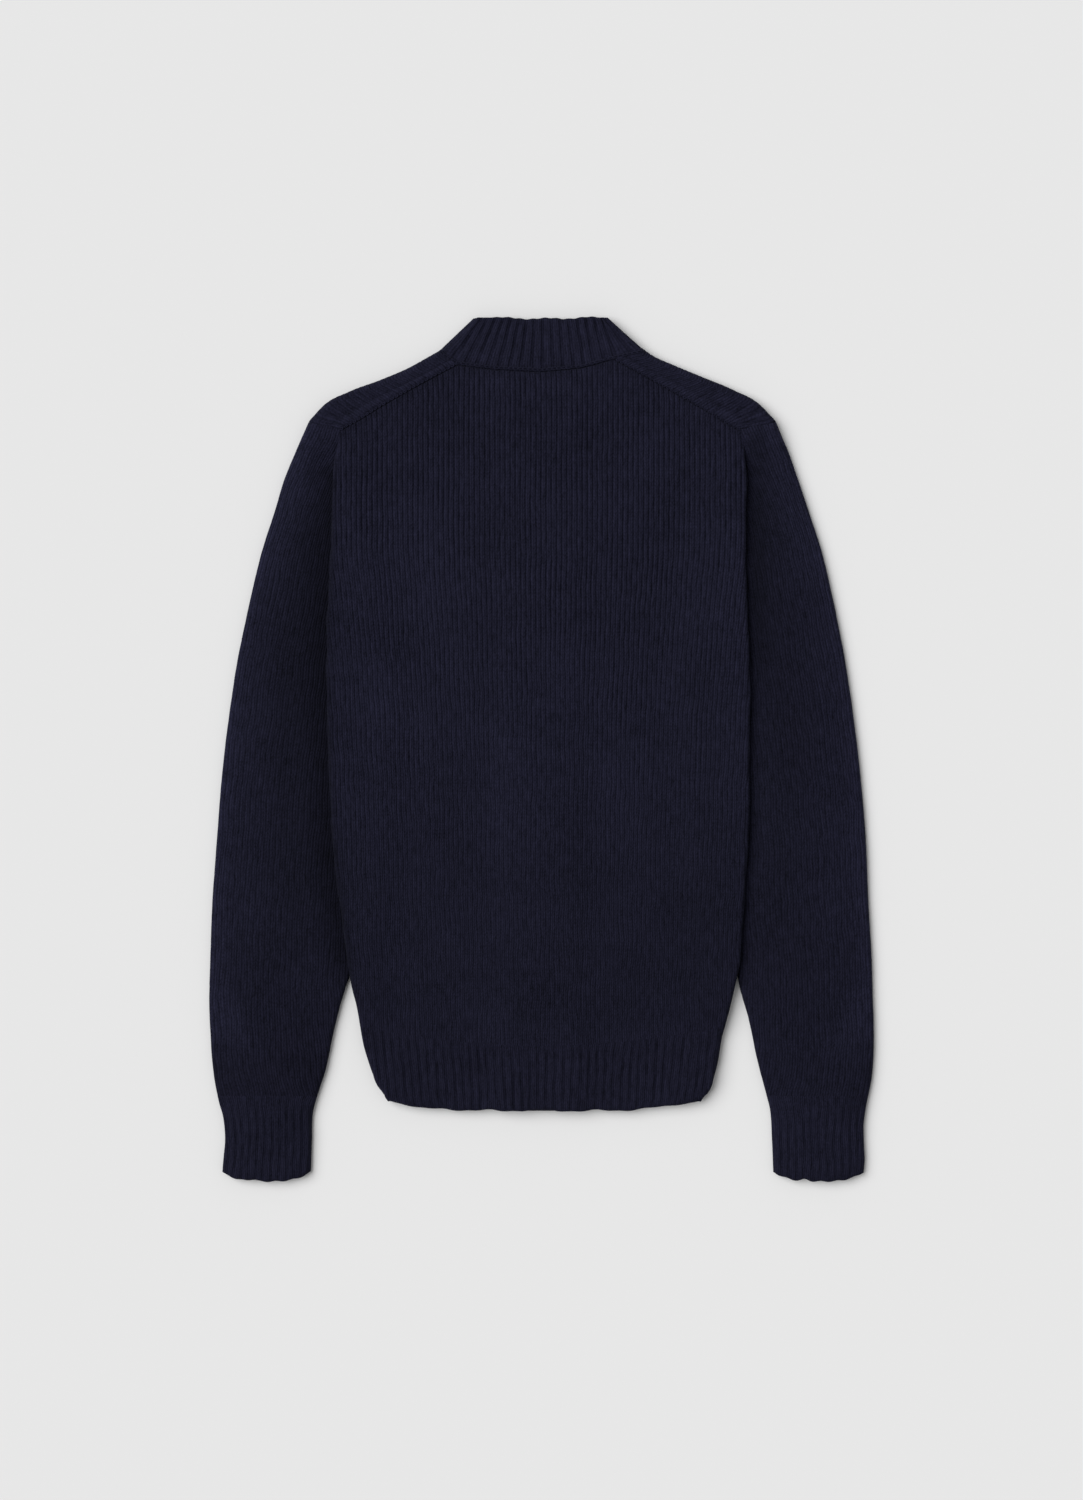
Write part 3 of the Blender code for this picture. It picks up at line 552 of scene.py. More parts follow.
@dataclass
class Sheet:
    """A knitted piece as the grid of points through the middle of its wall.

    Its outer face is the one that looks up where rows run up and columns to the right.
    """

    name: str
    points: Array
    wales: Array
    courses: Array
    wall: float
    relief: Array
    present: Optional[Array] = None
    bulge: float = 0.25
    sewn: tuple = ()
    # hollow: painted shade held in the colour of the outer face, 0 for none; below 0 it is a
    # painted highlight
    hollow: Any = 0.0

    def turned_over(self) -> "Sheet":
        """The same cloth, its columns in the other order, so that its other face is the outer."""
        grids = {"points": self.points, "wales": self.wales, "courses": self.courses}
        flipped = {name: grid[:, ::-1] for name, grid in grids.items()}
        present = None if self.present is None else self.present[:, ::-1]
        return replace(self, present=present, relief=self.relief[:, ::-1], **flipped)

    def quads(self) -> Array:
        """Corner numbers of every cell that is cloth."""
        rows, columns = self.points.shape[:2]
        index = np.arange(rows * columns).reshape(rows, columns)
        cells = np.stack([index[:-1, :-1], index[:-1, 1:], index[1:, 1:], index[1:, :-1]], -1)
        return cells.reshape(-1, 4) if self.present is None else cells[self.present]

    def leans(self) -> Array:
        """The way out of every cell, as long as twice its area."""
        a, b, c, d = (self.points.reshape(-1, 3)[self.quads()[:, k]] for k in range(4))
        return np.cross(c - a, d - b)

    def area(self) -> float:
        """Area of the cloth in square metres."""
        return float(np.linalg.norm(self.leans(), axis=1).sum()) * 0.5 * MM * MM

    def cut(self) -> tuple:
        """Greatest width and length of the cloth in metres, measured along its surface."""
        used = 1.0 if self.present is None else self.present
        across = np.linalg.norm(np.diff(self.points, axis=1), axis=2)[:-1] * used
        along = np.linalg.norm(np.diff(self.points, axis=0), axis=2)[:, :-1] * used
        return float(across.sum(axis=1).max()) * MM, float(along.sum(axis=0).max()) * MM

    def outward(self) -> Array:
        """The way out of the cloth at each of its points."""
        normals = np.zeros((self.wales.size, 3))
        leans = self.leans()
        for corner in self.quads().T:
            np.add.at(normals, corner, leans)
        return unit(normals)

    def rim(self, normals: Array) -> tuple:
        """Finds the edges with cloth on one side alone.

        Args:
            normals: The way out of the cloth at each point.

        Returns:
            The first and the last point of each edge, then the points on the rim and the way
            off the cloth at each of them.
        """
        flat = self.points.reshape(-1, 3)
        starts, ends = self.quads().reshape(-1), np.roll(self.quads(), -1, axis=1).reshape(-1)
        alone = ~np.isin(starts * len(flat) + ends, ends * len(flat) + starts)
        starts, ends = starts[alone], ends[alone]
        side = unit(np.cross(flat[ends] - flat[starts], normals[starts]))
        away = np.zeros_like(flat)
        np.add.at(away, starts, side)
        np.add.at(away, ends, side)
        edge = np.unique(starts)
        return starts, ends, edge, unit(away[edge])

    def shell(self) -> bpy.types.Object:
        """Makes the closed piece, its stitch counts and the way out of the cloth on its points."""
        flat = self.points.reshape(-1, 3)
        normals = self.outward()
        starts, ends, edge, away = self.rim(normals)
        count, half = len(flat), 0.5 * self.wall
        bulged = flat[edge] + self.bulge * self.wall * away
        points = np.concatenate([flat + half * normals, flat - half * normals, bulged])
        middle = np.zeros(count, int)
        middle[edge] = 2 * count + np.arange(len(edge))
        below = np.stack([starts + count, ends + count, middle[ends], middle[starts]], 1)
        above = np.stack([middle[starts], middle[ends], ends, starts], 1)
        faces = np.concatenate([self.quads(), self.quads()[:, ::-1] + count, below, above])
        used, compact = np.unique(faces, return_inverse=True)
        mesh = plain_mesh(self.name, points[used] * MM, compact.reshape(faces.shape))

        source = np.concatenate([np.arange(count), np.arange(count), edge])[used]
        facing = np.concatenate([np.ones(count), -np.ones(count), np.zeros(len(edge))])[used]
        # The painted shade and highlights (hollow) go on the outer face alone
        hollow = np.broadcast_to(self.hollow, self.wales.shape).reshape(-1)
        sewn = np.zeros(self.wales.shape)
        sewn[list(self.sewn)] = 1.0
        give(mesh, "wale", self.wales.reshape(-1)[source])
        give(mesh, "course", self.courses.reshape(-1)[source])
        give(mesh, "relief", self.relief.reshape(-1)[source])
        give(mesh, "facing", facing)
        give(mesh, "hollow", hollow[source] * (facing >= 0.0))
        give(mesh, "outward", normals[source] * facing[:, None])
        give(mesh, "sewn", sewn.reshape(-1)[source] * (facing > 0.0))
        return placed(f"{self.name}_wool", mesh)

    def sharpen(self, mesh: bpy.types.Mesh) -> None:
        """Keeps the outer face's shading flat up to the rows where it is sewn to the next piece."""
        seam = np.zeros(len(mesh.vertices), np.float32)
        mesh.attributes["sewn"].data.foreach_get("value", seam)
        ends = np.zeros(2 * len(mesh.edges), np.int32)
        mesh.edges.foreach_get("vertices", ends)
        sharp = (seam[ends.reshape(-1, 2)] > 0.5).all(axis=1)
        mesh.attributes.new("sharp_edge", "BOOLEAN", "EDGE").data.foreach_set("value", sharp)
        mesh.attributes.remove(mesh.attributes["sewn"])


def plain_mesh(name: str, points: Array, faces: Array) -> bpy.types.Mesh:
    """A smooth mesh from points in metres and faces of four corners."""
    mesh = bpy.data.meshes.new(name)
    mesh.vertices.add(len(points))
    mesh.vertices.foreach_set("co", points.astype(np.float32).ravel())
    mesh.loops.add(faces.size)
    mesh.loops.foreach_set("vertex_index", faces.astype(np.int32).ravel())
    mesh.polygons.add(len(faces))
    mesh.polygons.foreach_set("loop_start", np.arange(0, faces.size, 4, dtype=np.int32))
    mesh.update(calc_edges=True)
    mesh.shade_smooth()
    return mesh


def give(mesh: bpy.types.Mesh, name: str, values: Array) -> None:
    """Stores numbers or vectors on a mesh's points under a name."""
    kind, key = ("FLOAT", "value") if values.ndim == 1 else ("FLOAT_VECTOR", "vector")
    layer = mesh.attributes.new(name, kind, "POINT")
    layer.data.foreach_set(key, values.astype(np.float32).ravel())


def placed(name: str, data: bpy.types.ID) -> bpy.types.Object:
    """A new object in the scene that shows a mesh, a light or a camera."""
    piece = bpy.data.objects.new(name, data)
    bpy.context.scene.collection.objects.link(piece)
    return piece


class Wiring:
    """Adds nodes to a tree and links them in one call."""

    def __init__(self, tree: bpy.types.NodeTree) -> None:
        """Works on a geometry tree, a group or a material's tree."""
        self.tree = tree

    def socket(self, name: str, kind: str, default: Any = None, out: bool = False) -> None:
        """Gives the tree a named input or output."""
        made = self.tree.interface.new_socket(
            name=name, in_out="OUTPUT" if out else "INPUT", socket_type=f"NodeSocket{kind}"
        )
        if default is not None:
            made.default_value = default

    def set(self, node: bpy.types.Node, inputs: dict) -> bpy.types.Node:
        """Gives a node's inputs, by name or number, their values or what feeds them."""
        for key, value in inputs.items():
            into = shown(node.inputs, key)
            if isinstance(value, bpy.types.NodeSocket):
                self.tree.links.new(value, into)
            else:
                into.default_value = value
        return node

    def add(self, kind: str, inputs: Optional[dict] = None, **settings: Any) -> bpy.types.Node:
        """Adds a node.

        Args:
            kind: The node's type.
            inputs: Values or sockets for its inputs, by name or number.
            settings: The node's own properties.

        Returns:
            The new node.
        """
        node = self.tree.nodes.new(kind)
        for name, value in settings.items():
            setattr(node, name, value)
        return self.set(node, inputs or {})

    def math(self, operation: str, *terms: Any, clamp: bool = False) -> Socket:
        """The result of a Math node on numbers or sockets."""
        given = dict(enumerate(terms))
        return self.add("ShaderNodeMath", given, operation=operation, use_clamp=clamp).outputs[0]

    def product(self, first: Any, *others: Any) -> Socket:
        """Numbers multiplied in order."""
        for other in others:
            first = self.math("MULTIPLY", first, other)
        return first

    def scaled(self, vector: Any, scale: Any) -> Socket:
        """A vector times a number."""
        given = {0: vector, "Scale": scale}
        return self.add("ShaderNodeVectorMath", given, operation="SCALE").outputs[0]

    def vector(self, **parts: Any) -> Socket:
        """A vector from its X, Y and Z."""
        return self.add("ShaderNodeCombineXYZ", parts).outputs[0]

    def blend(self, start: Any, end: Any, share: Any) -> Socket:
        """The number that lies a share of the way from start to end."""
        return self.math("MULTIPLY_ADD", self.math("SUBTRACT", end, start), share, start)

    def uneven(self, noise: Socket, strength: Any) -> Socket:
        """A factor round 1 from a noise, swinging as far as its strength says."""
        return self.math("MULTIPLY_ADD", self.math("SUBTRACT", noise, 0.5), strength, 1.0)

    def noise(self, place: Socket, scale: Any, detail: float, seed: Any) -> Socket:
        """Noise from 0 to 1 at a place, its seed shifting it."""
        inputs = {"Vector": place, "W": seed, "Scale": scale, "Detail": detail}
        return self.add("ShaderNodeTexNoise", inputs, noise_dimensions="4D").outputs[0]

    def group(self, name: str, inputs: dict) -> Any:
        """The outputs of a shared effect placed in this tree with its own values."""
        node = self.add("ShaderNodeGroup", node_tree=bpy.data.node_groups[name])
        return self.set(node, inputs).outputs

    def named(self, name: str, kind: str = "FLOAT") -> Socket:
        """A named attribute of the mesh in a geometry tree."""
        node = self.add("GeometryNodeInputNamedAttribute", {"Name": name}, data_type=kind)
        return shown(node.outputs, "Attribute")

    def kept(self, geometry: Socket, name: str, value: Any) -> Socket:
        """A geometry with a number stored on its points under a name."""
        given = {"Geometry": geometry, "Name": name, "Value": value}
        settings = {"data_type": "FLOAT", "domain": "POINT"}
        return self.add("GeometryNodeStoreNamedAttribute", given, **settings).outputs[0]

    def finish(self, made: Socket, material: Socket) -> None:
        """Ends a geometry tree in Realize Instances and Set Material."""
        real = self.add("GeometryNodeRealizeInstances", {"Geometry": made}).outputs[0]
        dressed = self.add("GeometryNodeSetMaterial", {"Geometry": real, "Material": material})
        self.add("NodeGroupOutput", {"Geometry": dressed.outputs[0]})


def shown(sockets: Any, key: Any) -> Socket:
    """The socket of that number, or the one of that name that the node now shows."""
    if isinstance(key, int):
        return sockets[key]
    return next(socket for socket in sockets if socket.name == key and socket.enabled)


def geometry_tree(name: str, inputs: dict) -> tuple:
    """Starts a geometry tree.

    Args:
        name: The tree's name.
        inputs: The kind and default of each input after the geometry, by name.

    Returns:
        The tree, its wiring and the sockets of its inputs.
    """
    tree = bpy.data.node_groups.new(name, "GeometryNodeTree")
    nodes = Wiring(tree)
    nodes.socket("Geometry", "Geometry")
    for label, (kind, default) in inputs.items():
        nodes.socket(label, kind, default)
    nodes.socket("Material", "Material")
    nodes.socket("Geometry", "Geometry", out=True)
    return tree, nodes, nodes.add("NodeGroupInput").outputs


def shader_group(name: str, inputs: dict, outputs: Sequence[str]) -> tuple:
    """Starts a shader node group.

    Args:
        name: The group's name.
        inputs: The kind and default of each input, by name.
        outputs: The names of its numbers.

    Returns:
        The group's wiring and the sockets of its inputs.
    """
    nodes = Wiring(bpy.data.node_groups.new(name, "ShaderNodeTree"))
    for label, (kind, default) in inputs.items():
        nodes.socket(label, kind, default)
    for label in outputs:
        nodes.socket(label, "Float", out=True)
    return nodes, nodes.add("NodeGroupInput").outputs


def wale_ridge(nodes: Wiring, wale: Socket, given: Any) -> Socket:
    """How high the cloth stands across its wales, from 0 in a groove to 1."""
    turn = nodes.product(nodes.math("FRACT", wale), math.pi)
    rise = nodes.math("ABSOLUTE", nodes.math("SINE", turn))
    plain = nodes.math("POWER", rise, given["Plain Roundness"])
    turn = nodes.product(nodes.math("SUBTRACT", wale, 0.5), math.pi)
    wave = nodes.math("MULTIPLY_ADD", nodes.math("COSINE", turn), 0.5, 0.5)
    full = nodes.product(wave, given["Rib Fullness"])
    rib = nodes.math("SMOOTH_MIN", full, 1.0, given["Rib Softness"])
    return nodes.blend(plain, rib, given["Knit"])


def wale_factor(nodes: Wiring, given: Any) -> Socket:
    """How deep the grooves are from place to place, streaked along the wales and patchy."""
    along = nodes.product(nodes.named("course"), given["Streak Length"])
    streak = nodes.vector(X=nodes.named("wale"), Y=along)
    broad = nodes.scaled(streak, given["Patch Scale"])
    streaky, patchy = (
        nodes.uneven(nodes.noise(place, 1.0, detail=1.0, seed=given["Seed"]), strength)
        for place, strength in ((streak, given["Unevenness"]), (broad, given["Patchiness"]))
    )
    return nodes.product(streaky, nodes.math("MAXIMUM", patchy, 0.0))


def relief_tree() -> bpy.types.NodeTree:
    """Draws the grooves of wales or ribs into a knitted shell, along its own stitch counts."""
    inputs = {
        "Knit": ("Float", 0.0),
        "Depth": ("Float", 0.0009),
        "Inside Depth": ("Float", 0.0004),
        "Plain Roundness": ("Float", 0.55),
        "Rib Fullness": ("Float", 1.25),
        "Rib Softness": ("Float", 0.2),
        "Wander": ("Float", 0.25),
        "Wander Scale": ("Float", 40.0),
        "Sewn Wander": ("Float", 1.9),
        "Unevenness": ("Float", 2.0),
        "Streak Length": ("Float", 0.28),
        "Patchiness": ("Float", 2.2),
        "Patch Scale": ("Float", 0.3),
        "Seed": ("Float", 0.0),
    }
    tree, nodes, given = geometry_tree("knit_relief", inputs)
    place = nodes.add("GeometryNodeInputPosition").outputs[0]
    drift = nodes.noise(place, given["Wander Scale"], detail=2.0, seed=given["Seed"])
    loose = nodes.blend(given["Sewn Wander"], 1.0, nodes.named("relief"))
    drift = nodes.product(nodes.math("SUBTRACT", drift, 0.5), loose)
    wale = nodes.math("MULTIPLY_ADD", drift, given["Wander"], nodes.named("wale"))
    ridge = wale_ridge(nodes, wale, given)
    hollow = nodes.math("SUBTRACT", 1.0, ridge)
    behind_plain = nodes.product(hollow, given["Inside Depth"])
    behind_rib = nodes.product(ridge, given["Depth"])
    inner = nodes.blend(behind_plain, behind_rib, given["Knit"])
    is_outer = nodes.math("GREATER_THAN", nodes.named("facing"), 0.0)
    depth = nodes.blend(inner, nodes.product(hollow, given["Depth"]), is_outer)
    depth = nodes.product(depth, wale_factor(nodes, given), nodes.named("relief"), -1.0)
    offset = nodes.scaled(nodes.named("outward", "FLOAT_VECTOR"), depth)
    moves = {"Geometry": given["Geometry"], "Offset": offset}
    moved = nodes.add("GeometryNodeSetPosition", moves).outputs[0]
    nodes.finish(nodes.kept(moved, "wale", wale), given["Material"])
    return tree


def linking_tree() -> bpy.types.NodeTree:
    """Lays links of yarn end to end along a path, as on a linked or whipped seam."""
    inputs = {
        "Spacing": ("Float", 0.0034),
        "Link Length": ("Float", 0.0046),
        "Link Width": ("Float", 0.0017),
        "Link Sides": ("Int", 9),
        "Yarn Radius": ("Float", 0.0008),
        "Yarn Sides": ("Int", 5),
        "Least Scale": ("Vector", (0.86, 0.8, 0.9)),
        "Greatest Scale": ("Vector", (1.12, 1.15, 1.1)),
        "Tilt": ("Float", 0.22),
        "Wale": ("Float", 0.27),
        "Seed": ("Int", 3),
    }
    tree, nodes, given = geometry_tree("linked_seam", inputs)
    path = nodes.add("GeometryNodeMeshToCurve", {"Mesh": given["Geometry"]}).outputs[0]
    spaced = {"Curve": path, "Length": given["Spacing"]}
    points = nodes.add("GeometryNodeCurveToPoints", spaced, mode="LENGTH").outputs
    around = {"Resolution": given["Link Sides"], "Radius": 0.5}
    ring = nodes.add("GeometryNodeCurvePrimitiveCircle", around).outputs[0]
    size = nodes.vector(X=given["Link Length"], Y=given["Link Width"], Z=1.0)
    oval = nodes.add("GeometryNodeTransform", {"Geometry": ring, "Scale": size}).outputs[0]
    around = {"Resolution": given["Yarn Sides"], "Radius": given["Yarn Radius"]}
    yarn = nodes.add("GeometryNodeCurvePrimitiveCircle", around).outputs[0]
    swept = {"Curve": oval, "Profile Curve": yarn}
    link = nodes.add("GeometryNodeCurveToMesh", swept).outputs[0]
    tipped = {"Geometry": link, "Rotation": nodes.vector(Y=given["Tilt"])}
    leaning = nodes.add("GeometryNodeTransform", tipped).outputs[0]
    along = {"Vector": points["Tangent"]}
    facing = nodes.add("FunctionNodeAlignRotationToVector", along, axis="X").outputs[0]
    spread = {"Min": given["Least Scale"], "Max": given["Greatest Scale"], "Seed": given["Seed"]}
    uneven = nodes.add("FunctionNodeRandomValue", spread, data_type="FLOAT_VECTOR")
    scale = shown(uneven.outputs, "Value")
    copies = {"Points": points["Points"], "Instance": leaning, "Rotation": facing, "Scale": scale}
    row = nodes.add("GeometryNodeInstanceOnPoints", copies).outputs[0]
    real = nodes.add("GeometryNodeRealizeInstances", {"Geometry": row}).outputs[0]
    nodes.finish(nodes.kept(real, "wale", given["Wale"]), given["Material"])
    return tree


def row_tree() -> bpy.types.NodeTree:
    """Sets copies of one mesh in a straight row down the front, each turned a little."""
    inputs = {
        "Count": ("Int", 6),
        "Start": ("Vector", (0.0, 0.281, 0.0)),
        "Spacing": ("Float", 0.115),
        "Turn": ("Float", 0.12),
        "Seed": ("Int", 5),
    }
    tree, nodes, given = geometry_tree("even_row", inputs)
    step = nodes.vector(Y=nodes.product(given["Spacing"], -1.0))
    places = {"Count": given["Count"], "Start Location": given["Start"], "Offset": step}
    line = nodes.add("GeometryNodeMeshLine", places, mode="OFFSET").outputs[0]
    least = nodes.product(given["Turn"], -1.0)
    spread = {"Min": least, "Max": given["Turn"], "Seed": given["Seed"]}
    angle = nodes.add("FunctionNodeRandomValue", spread, data_type="FLOAT")
    turned = nodes.vector(Z=shown(angle.outputs, "Value"))
    copies = {"Points": line, "Instance": given["Geometry"], "Rotation": turned}
    row = nodes.add("GeometryNodeInstanceOnPoints", copies).outputs[0]
    nodes.finish(row, given["Material"])
    return tree


def through(piece: bpy.types.Object, tree: bpy.types.NodeTree, **values: Any) -> None:
    """Runs a piece through a geometry tree and keeps the plain mesh that it makes.

    Args:
        piece: The object whose mesh is replaced by the result.
        tree: The geometry tree.
        values: The tree's inputs, with _ for a space in a name.
    """
    modifier = piece.modifiers.new(tree.name, "NODES")
    modifier.node_group = tree
    for item in tree.interface.items_tree:
        key = item.name.replace(" ", "_")
        if item.item_type == "SOCKET" and item.in_out == "INPUT" and key in values:
            modifier[item.identifier] = values[key]
    graph = bpy.context.evaluated_depsgraph_get()
    made = bpy.data.meshes.new_from_object(
        piece.evaluated_get(graph), preserve_all_data_layers=True, depsgraph=graph
    )
    piece.modifiers.remove(modifier)
    piece.data = made
    made.name = piece.name
    made.shade_smooth()


def stitch_group() -> None:
    """The two slanting legs of each knitted stitch, from its wale and course counts."""
    inputs = {
        "Wale": ("Float", 0.0),
        "Course": ("Float", 0.0),
        "Leg Centre": ("Float", 0.23),
        "Leg Width": ("Float", 0.27),
        "Leg Roundness": ("Float", 0.6),
        "Slant": ("Float", 1.5),
        "Leg Ends": ("Float", 0.4),
        "Streak Length": ("Float", 0.15),
        "Streak Scale": ("Float", 2.0),
        "Seed": ("Float", 0.0),
    }
    nodes, given = shader_group("knitted_stitch", inputs, ("Height", "Streak"))
    side = nodes.math("ABSOLUTE", nodes.math("SUBTRACT", nodes.math("FRACT", given["Wale"]), 0.5))
    off = nodes.math("SUBTRACT", side, given["Leg Centre"])
    off = nodes.math("DIVIDE", off, given["Leg Width"])
    leg = nodes.math("SUBTRACT", 1.0, nodes.product(off, off), clamp=True)
    climb = nodes.product(side, given["Slant"])
    phase = nodes.product(nodes.math("SUBTRACT", given["Course"], climb), math.pi)
    rise = nodes.math("ABSOLUTE", nodes.math("SINE", phase))
    strand = nodes.math("POWER", rise, given["Leg Roundness"])
    body = nodes.blend(given["Leg Ends"], 1.0, strand)
    along = nodes.product(given["Course"], given["Streak Length"])
    place = nodes.vector(X=given["Wale"], Y=along)
    streak = nodes.noise(place, given["Streak Scale"], detail=2.0, seed=given["Seed"])
    nodes.add("NodeGroupOutput", {"Height": nodes.product(leg, body), "Streak": streak})


def wool_group() -> None:
    """The uneven shade and the fuzz of brushed wool."""
    inputs = {
        "Vector": ("Vector", None),
        "Patch Scale": ("Float", 16.0),
        "Tuft Scale": ("Float", 230.0),
        "Fibre Scale": ("Float", 700.0),
        "Tuft Share": ("Float", 0.4),
        "Fibre Share": ("Float", 0.6),
        "Seed": ("Float", 0.0),
    }
    nodes, given = shader_group("brushed_wool", inputs, ("Shade", "Fuzz"))
    patch, tuft, fibre = (
        nodes.noise(given["Vector"], given[f"{layer} Scale"], detail, given["Seed"])
        for layer, detail in (("Patch", 2.0), ("Tuft", 3.0), ("Fibre", 2.0))
    )
    shade = nodes.blend(patch, tuft, given["Tuft Share"])
    shade = nodes.blend(shade, fibre, given["Fibre Share"])
    nodes.add("NodeGroupOutput", {"Shade": shade, "Fuzz": nodes.blend(tuft, fibre, 0.5)})


def blank(name: str, values: dict) -> tuple:
    """Starts a material.

    Args:
        name: The material's name.
        values: Numbers and colours for its shader, by socket.

    Returns:
        The material, its wiring and its shader.
    """
    material = bpy.data.materials.new(name)
    material.use_nodes = True
    nodes = Wiring(material.node_tree)
    return material, nodes, nodes.set(material.node_tree.nodes["Principled BSDF"], values)


@dataclass(frozen=True)
class Wool:
    """A knitted wool finish: its dark and light yarn colours and how high its stitches stand."""

    name: str
    slot: str
    dark: tuple = (0.0030, 0.0031, 0.0072)
    light: tuple = (0.0156, 0.0156, 0.0336)
    stitch: float = 0.55
    fuzz: float = 0.4
    # stitch_shade paints shade between the stitch legs into the colour; streak_shade and wool_shade
    # give the yarn's own uneven tone
    stitch_shade: float = 0.4
    streak_shade: float = 1.3
    wool_shade: float = 2.0
    bump: float = 0.001
    roughness: float = 0.82
    fuzz_roughness: float = 0.12
    specular: float = 0.06
    sheen: float = 0.04
    sheen_roughness: float = 0.45
    sheen_tint: tuple = (0.55, 0.58, 0.85, 1.0)
    seed: float = 0.0

    def colour(self, nodes: Wiring, spread: Socket, hollow: Socket) -> Socket:
        """The yarn's colour between its dark and its light, times the painted shade of the hollow
        attribute: painted shadows darken it, painted highlights lighten it.
        """
        lit = nodes.math("SUBTRACT", 1.0, hollow)
        dark, light = (nodes.scaled(tone, lit) for tone in (self.dark, self.light))
        given = {"Factor": spread, "A": dark, "B": light}
        return shown(nodes.add("ShaderNodeMix", given, data_type="RGBA").outputs, "Result")

    def build(self) -> bpy.types.Material:
        """Makes the material."""
        shine = {
            "Specular IOR Level": self.specular,
            "Sheen Weight": self.sheen,
            "Sheen Roughness": self.sheen_roughness,
            "Sheen Tint": self.sheen_tint,
        }
        material, nodes, shader = blank(self.name, shine)
        # hollow carries each piece's painted shade and painted highlights
        wale, course, hollow = (
            nodes.add("ShaderNodeAttribute", attribute_name=name).outputs["Fac"]
            for name in ("wale", "course", "hollow")
        )
        counts = {"Wale": wale, "Course": course, "Seed": self.seed}
        stitch = nodes.group("knitted_stitch", counts)
        place = nodes.add("ShaderNodeTexCoord").outputs["Object"]
        wool = nodes.group("brushed_wool", {"Vector": place, "Seed": self.seed})
        # The colour's spread: painted shade between the stitch legs, darker where the stitch is
        # low, with streaks along the wales and the yarn's random tone
        spread = 0.5
        for value, weight in (
            (stitch["Height"], self.stitch_shade),
            (stitch["Streak"], self.streak_shade),
            (wool["Shade"], self.wool_shade),
        ):
            spread = nodes.math("MULTIPLY_ADD", nodes.math("SUBTRACT", value, 0.5), weight, spread)
        spread = nodes.math("MAXIMUM", nodes.math("MINIMUM", spread, 1.0), 0.0)
        raised = nodes.product(stitch["Height"], self.stitch)
        height = nodes.math("MULTIPLY_ADD", wool["Fuzz"], self.fuzz, raised)
        bumps = {"Strength": 1.0, "Distance": self.bump, "Height": height}
        rough = nodes.math("MULTIPLY_ADD", wool["Fuzz"], self.fuzz_roughness, self.roughness)
        surface = {
            "Base Color": self.colour(nodes, spread, hollow),
            "Normal": nodes.add("ShaderNodeBump", bumps).outputs[0],
            "Roughness": rough,
        }
        nodes.set(shader, surface)
        return material


@dataclass(frozen=True)
class Horn:
    """A dark polished horn finish for the buttons, with a streaked cloud in it and light wear."""

    name: str = "dark_horn"
    slot: str = "dark_button"
    dark: tuple = (0.006, 0.0045, 0.004, 1.0)
    light: tuple = (0.028, 0.019, 0.014, 1.0)
    grain_turn: tuple = (0.0, 0.0, 0.5)
    grain_stretch: tuple = (1.0, 5.0, 1.0)
    grain_scale: float = 90.0
    wear_scale: float = 700.0
    polish: float = 0.2
    worn: float = 0.14
    bump: float = 0.0002
    bump_strength: float = 0.3

    def build(self) -> bpy.types.Material:
        """Makes the material."""
        material, nodes, shader = blank(self.name, {})
        place = nodes.add("ShaderNodeTexCoord").outputs["Object"]
        turned = {"Vector": place, "Rotation": self.grain_turn, "Scale": self.grain_stretch}
        streak = nodes.add("ShaderNodeMapping", turned).outputs[0]
        cloud = nodes.noise(streak, self.grain_scale, detail=4.0, seed=2.0)
        tones = {"Factor": cloud, "A": self.dark, "B": self.light}
        colour = nodes.add("ShaderNodeMix", tones, data_type="RGBA")
        wear = nodes.noise(place, self.wear_scale, detail=2.0, seed=4.0)
        bumps = {"Strength": self.bump_strength, "Distance": self.bump, "Height": wear}
        surface = {
            "Base Color": shown(colour.outputs, "Result"),
            "Roughness": nodes.math("MULTIPLY_ADD", wear, self.worn, self.polish),
            "Normal": nodes.add("ShaderNodeBump", bumps).outputs[0],
        }
        nodes.set(shader, surface)
        return material


@dataclass(frozen=True)
class Plaster:
    """A matt pale finish for the surface that the garment lies on."""

    name: str = "pale_surface"
    colour: tuple = (0.8, 0.8, 0.8, 1.0)
    roughness: float = 0.95

    def build(self) -> bpy.types.Material:
        """Makes the material."""
        surface = {
            "Base Color": self.colour,
            "Roughness": self.roughness,
            "Specular IOR Level": 0.0,
        }
        return blank(self.name, surface)[0]


RELIEFS = {
    Knit.PLAIN: {"Depth": 0.001, "Inside_Depth": 0.0004, "Wander": 0.45, "Unevenness": 1.9},
    Knit.RIB: {"Depth": 0.0015, "Inside_Depth": 0.0004, "Wander": 0.5, "Unevenness": 1.9},
}


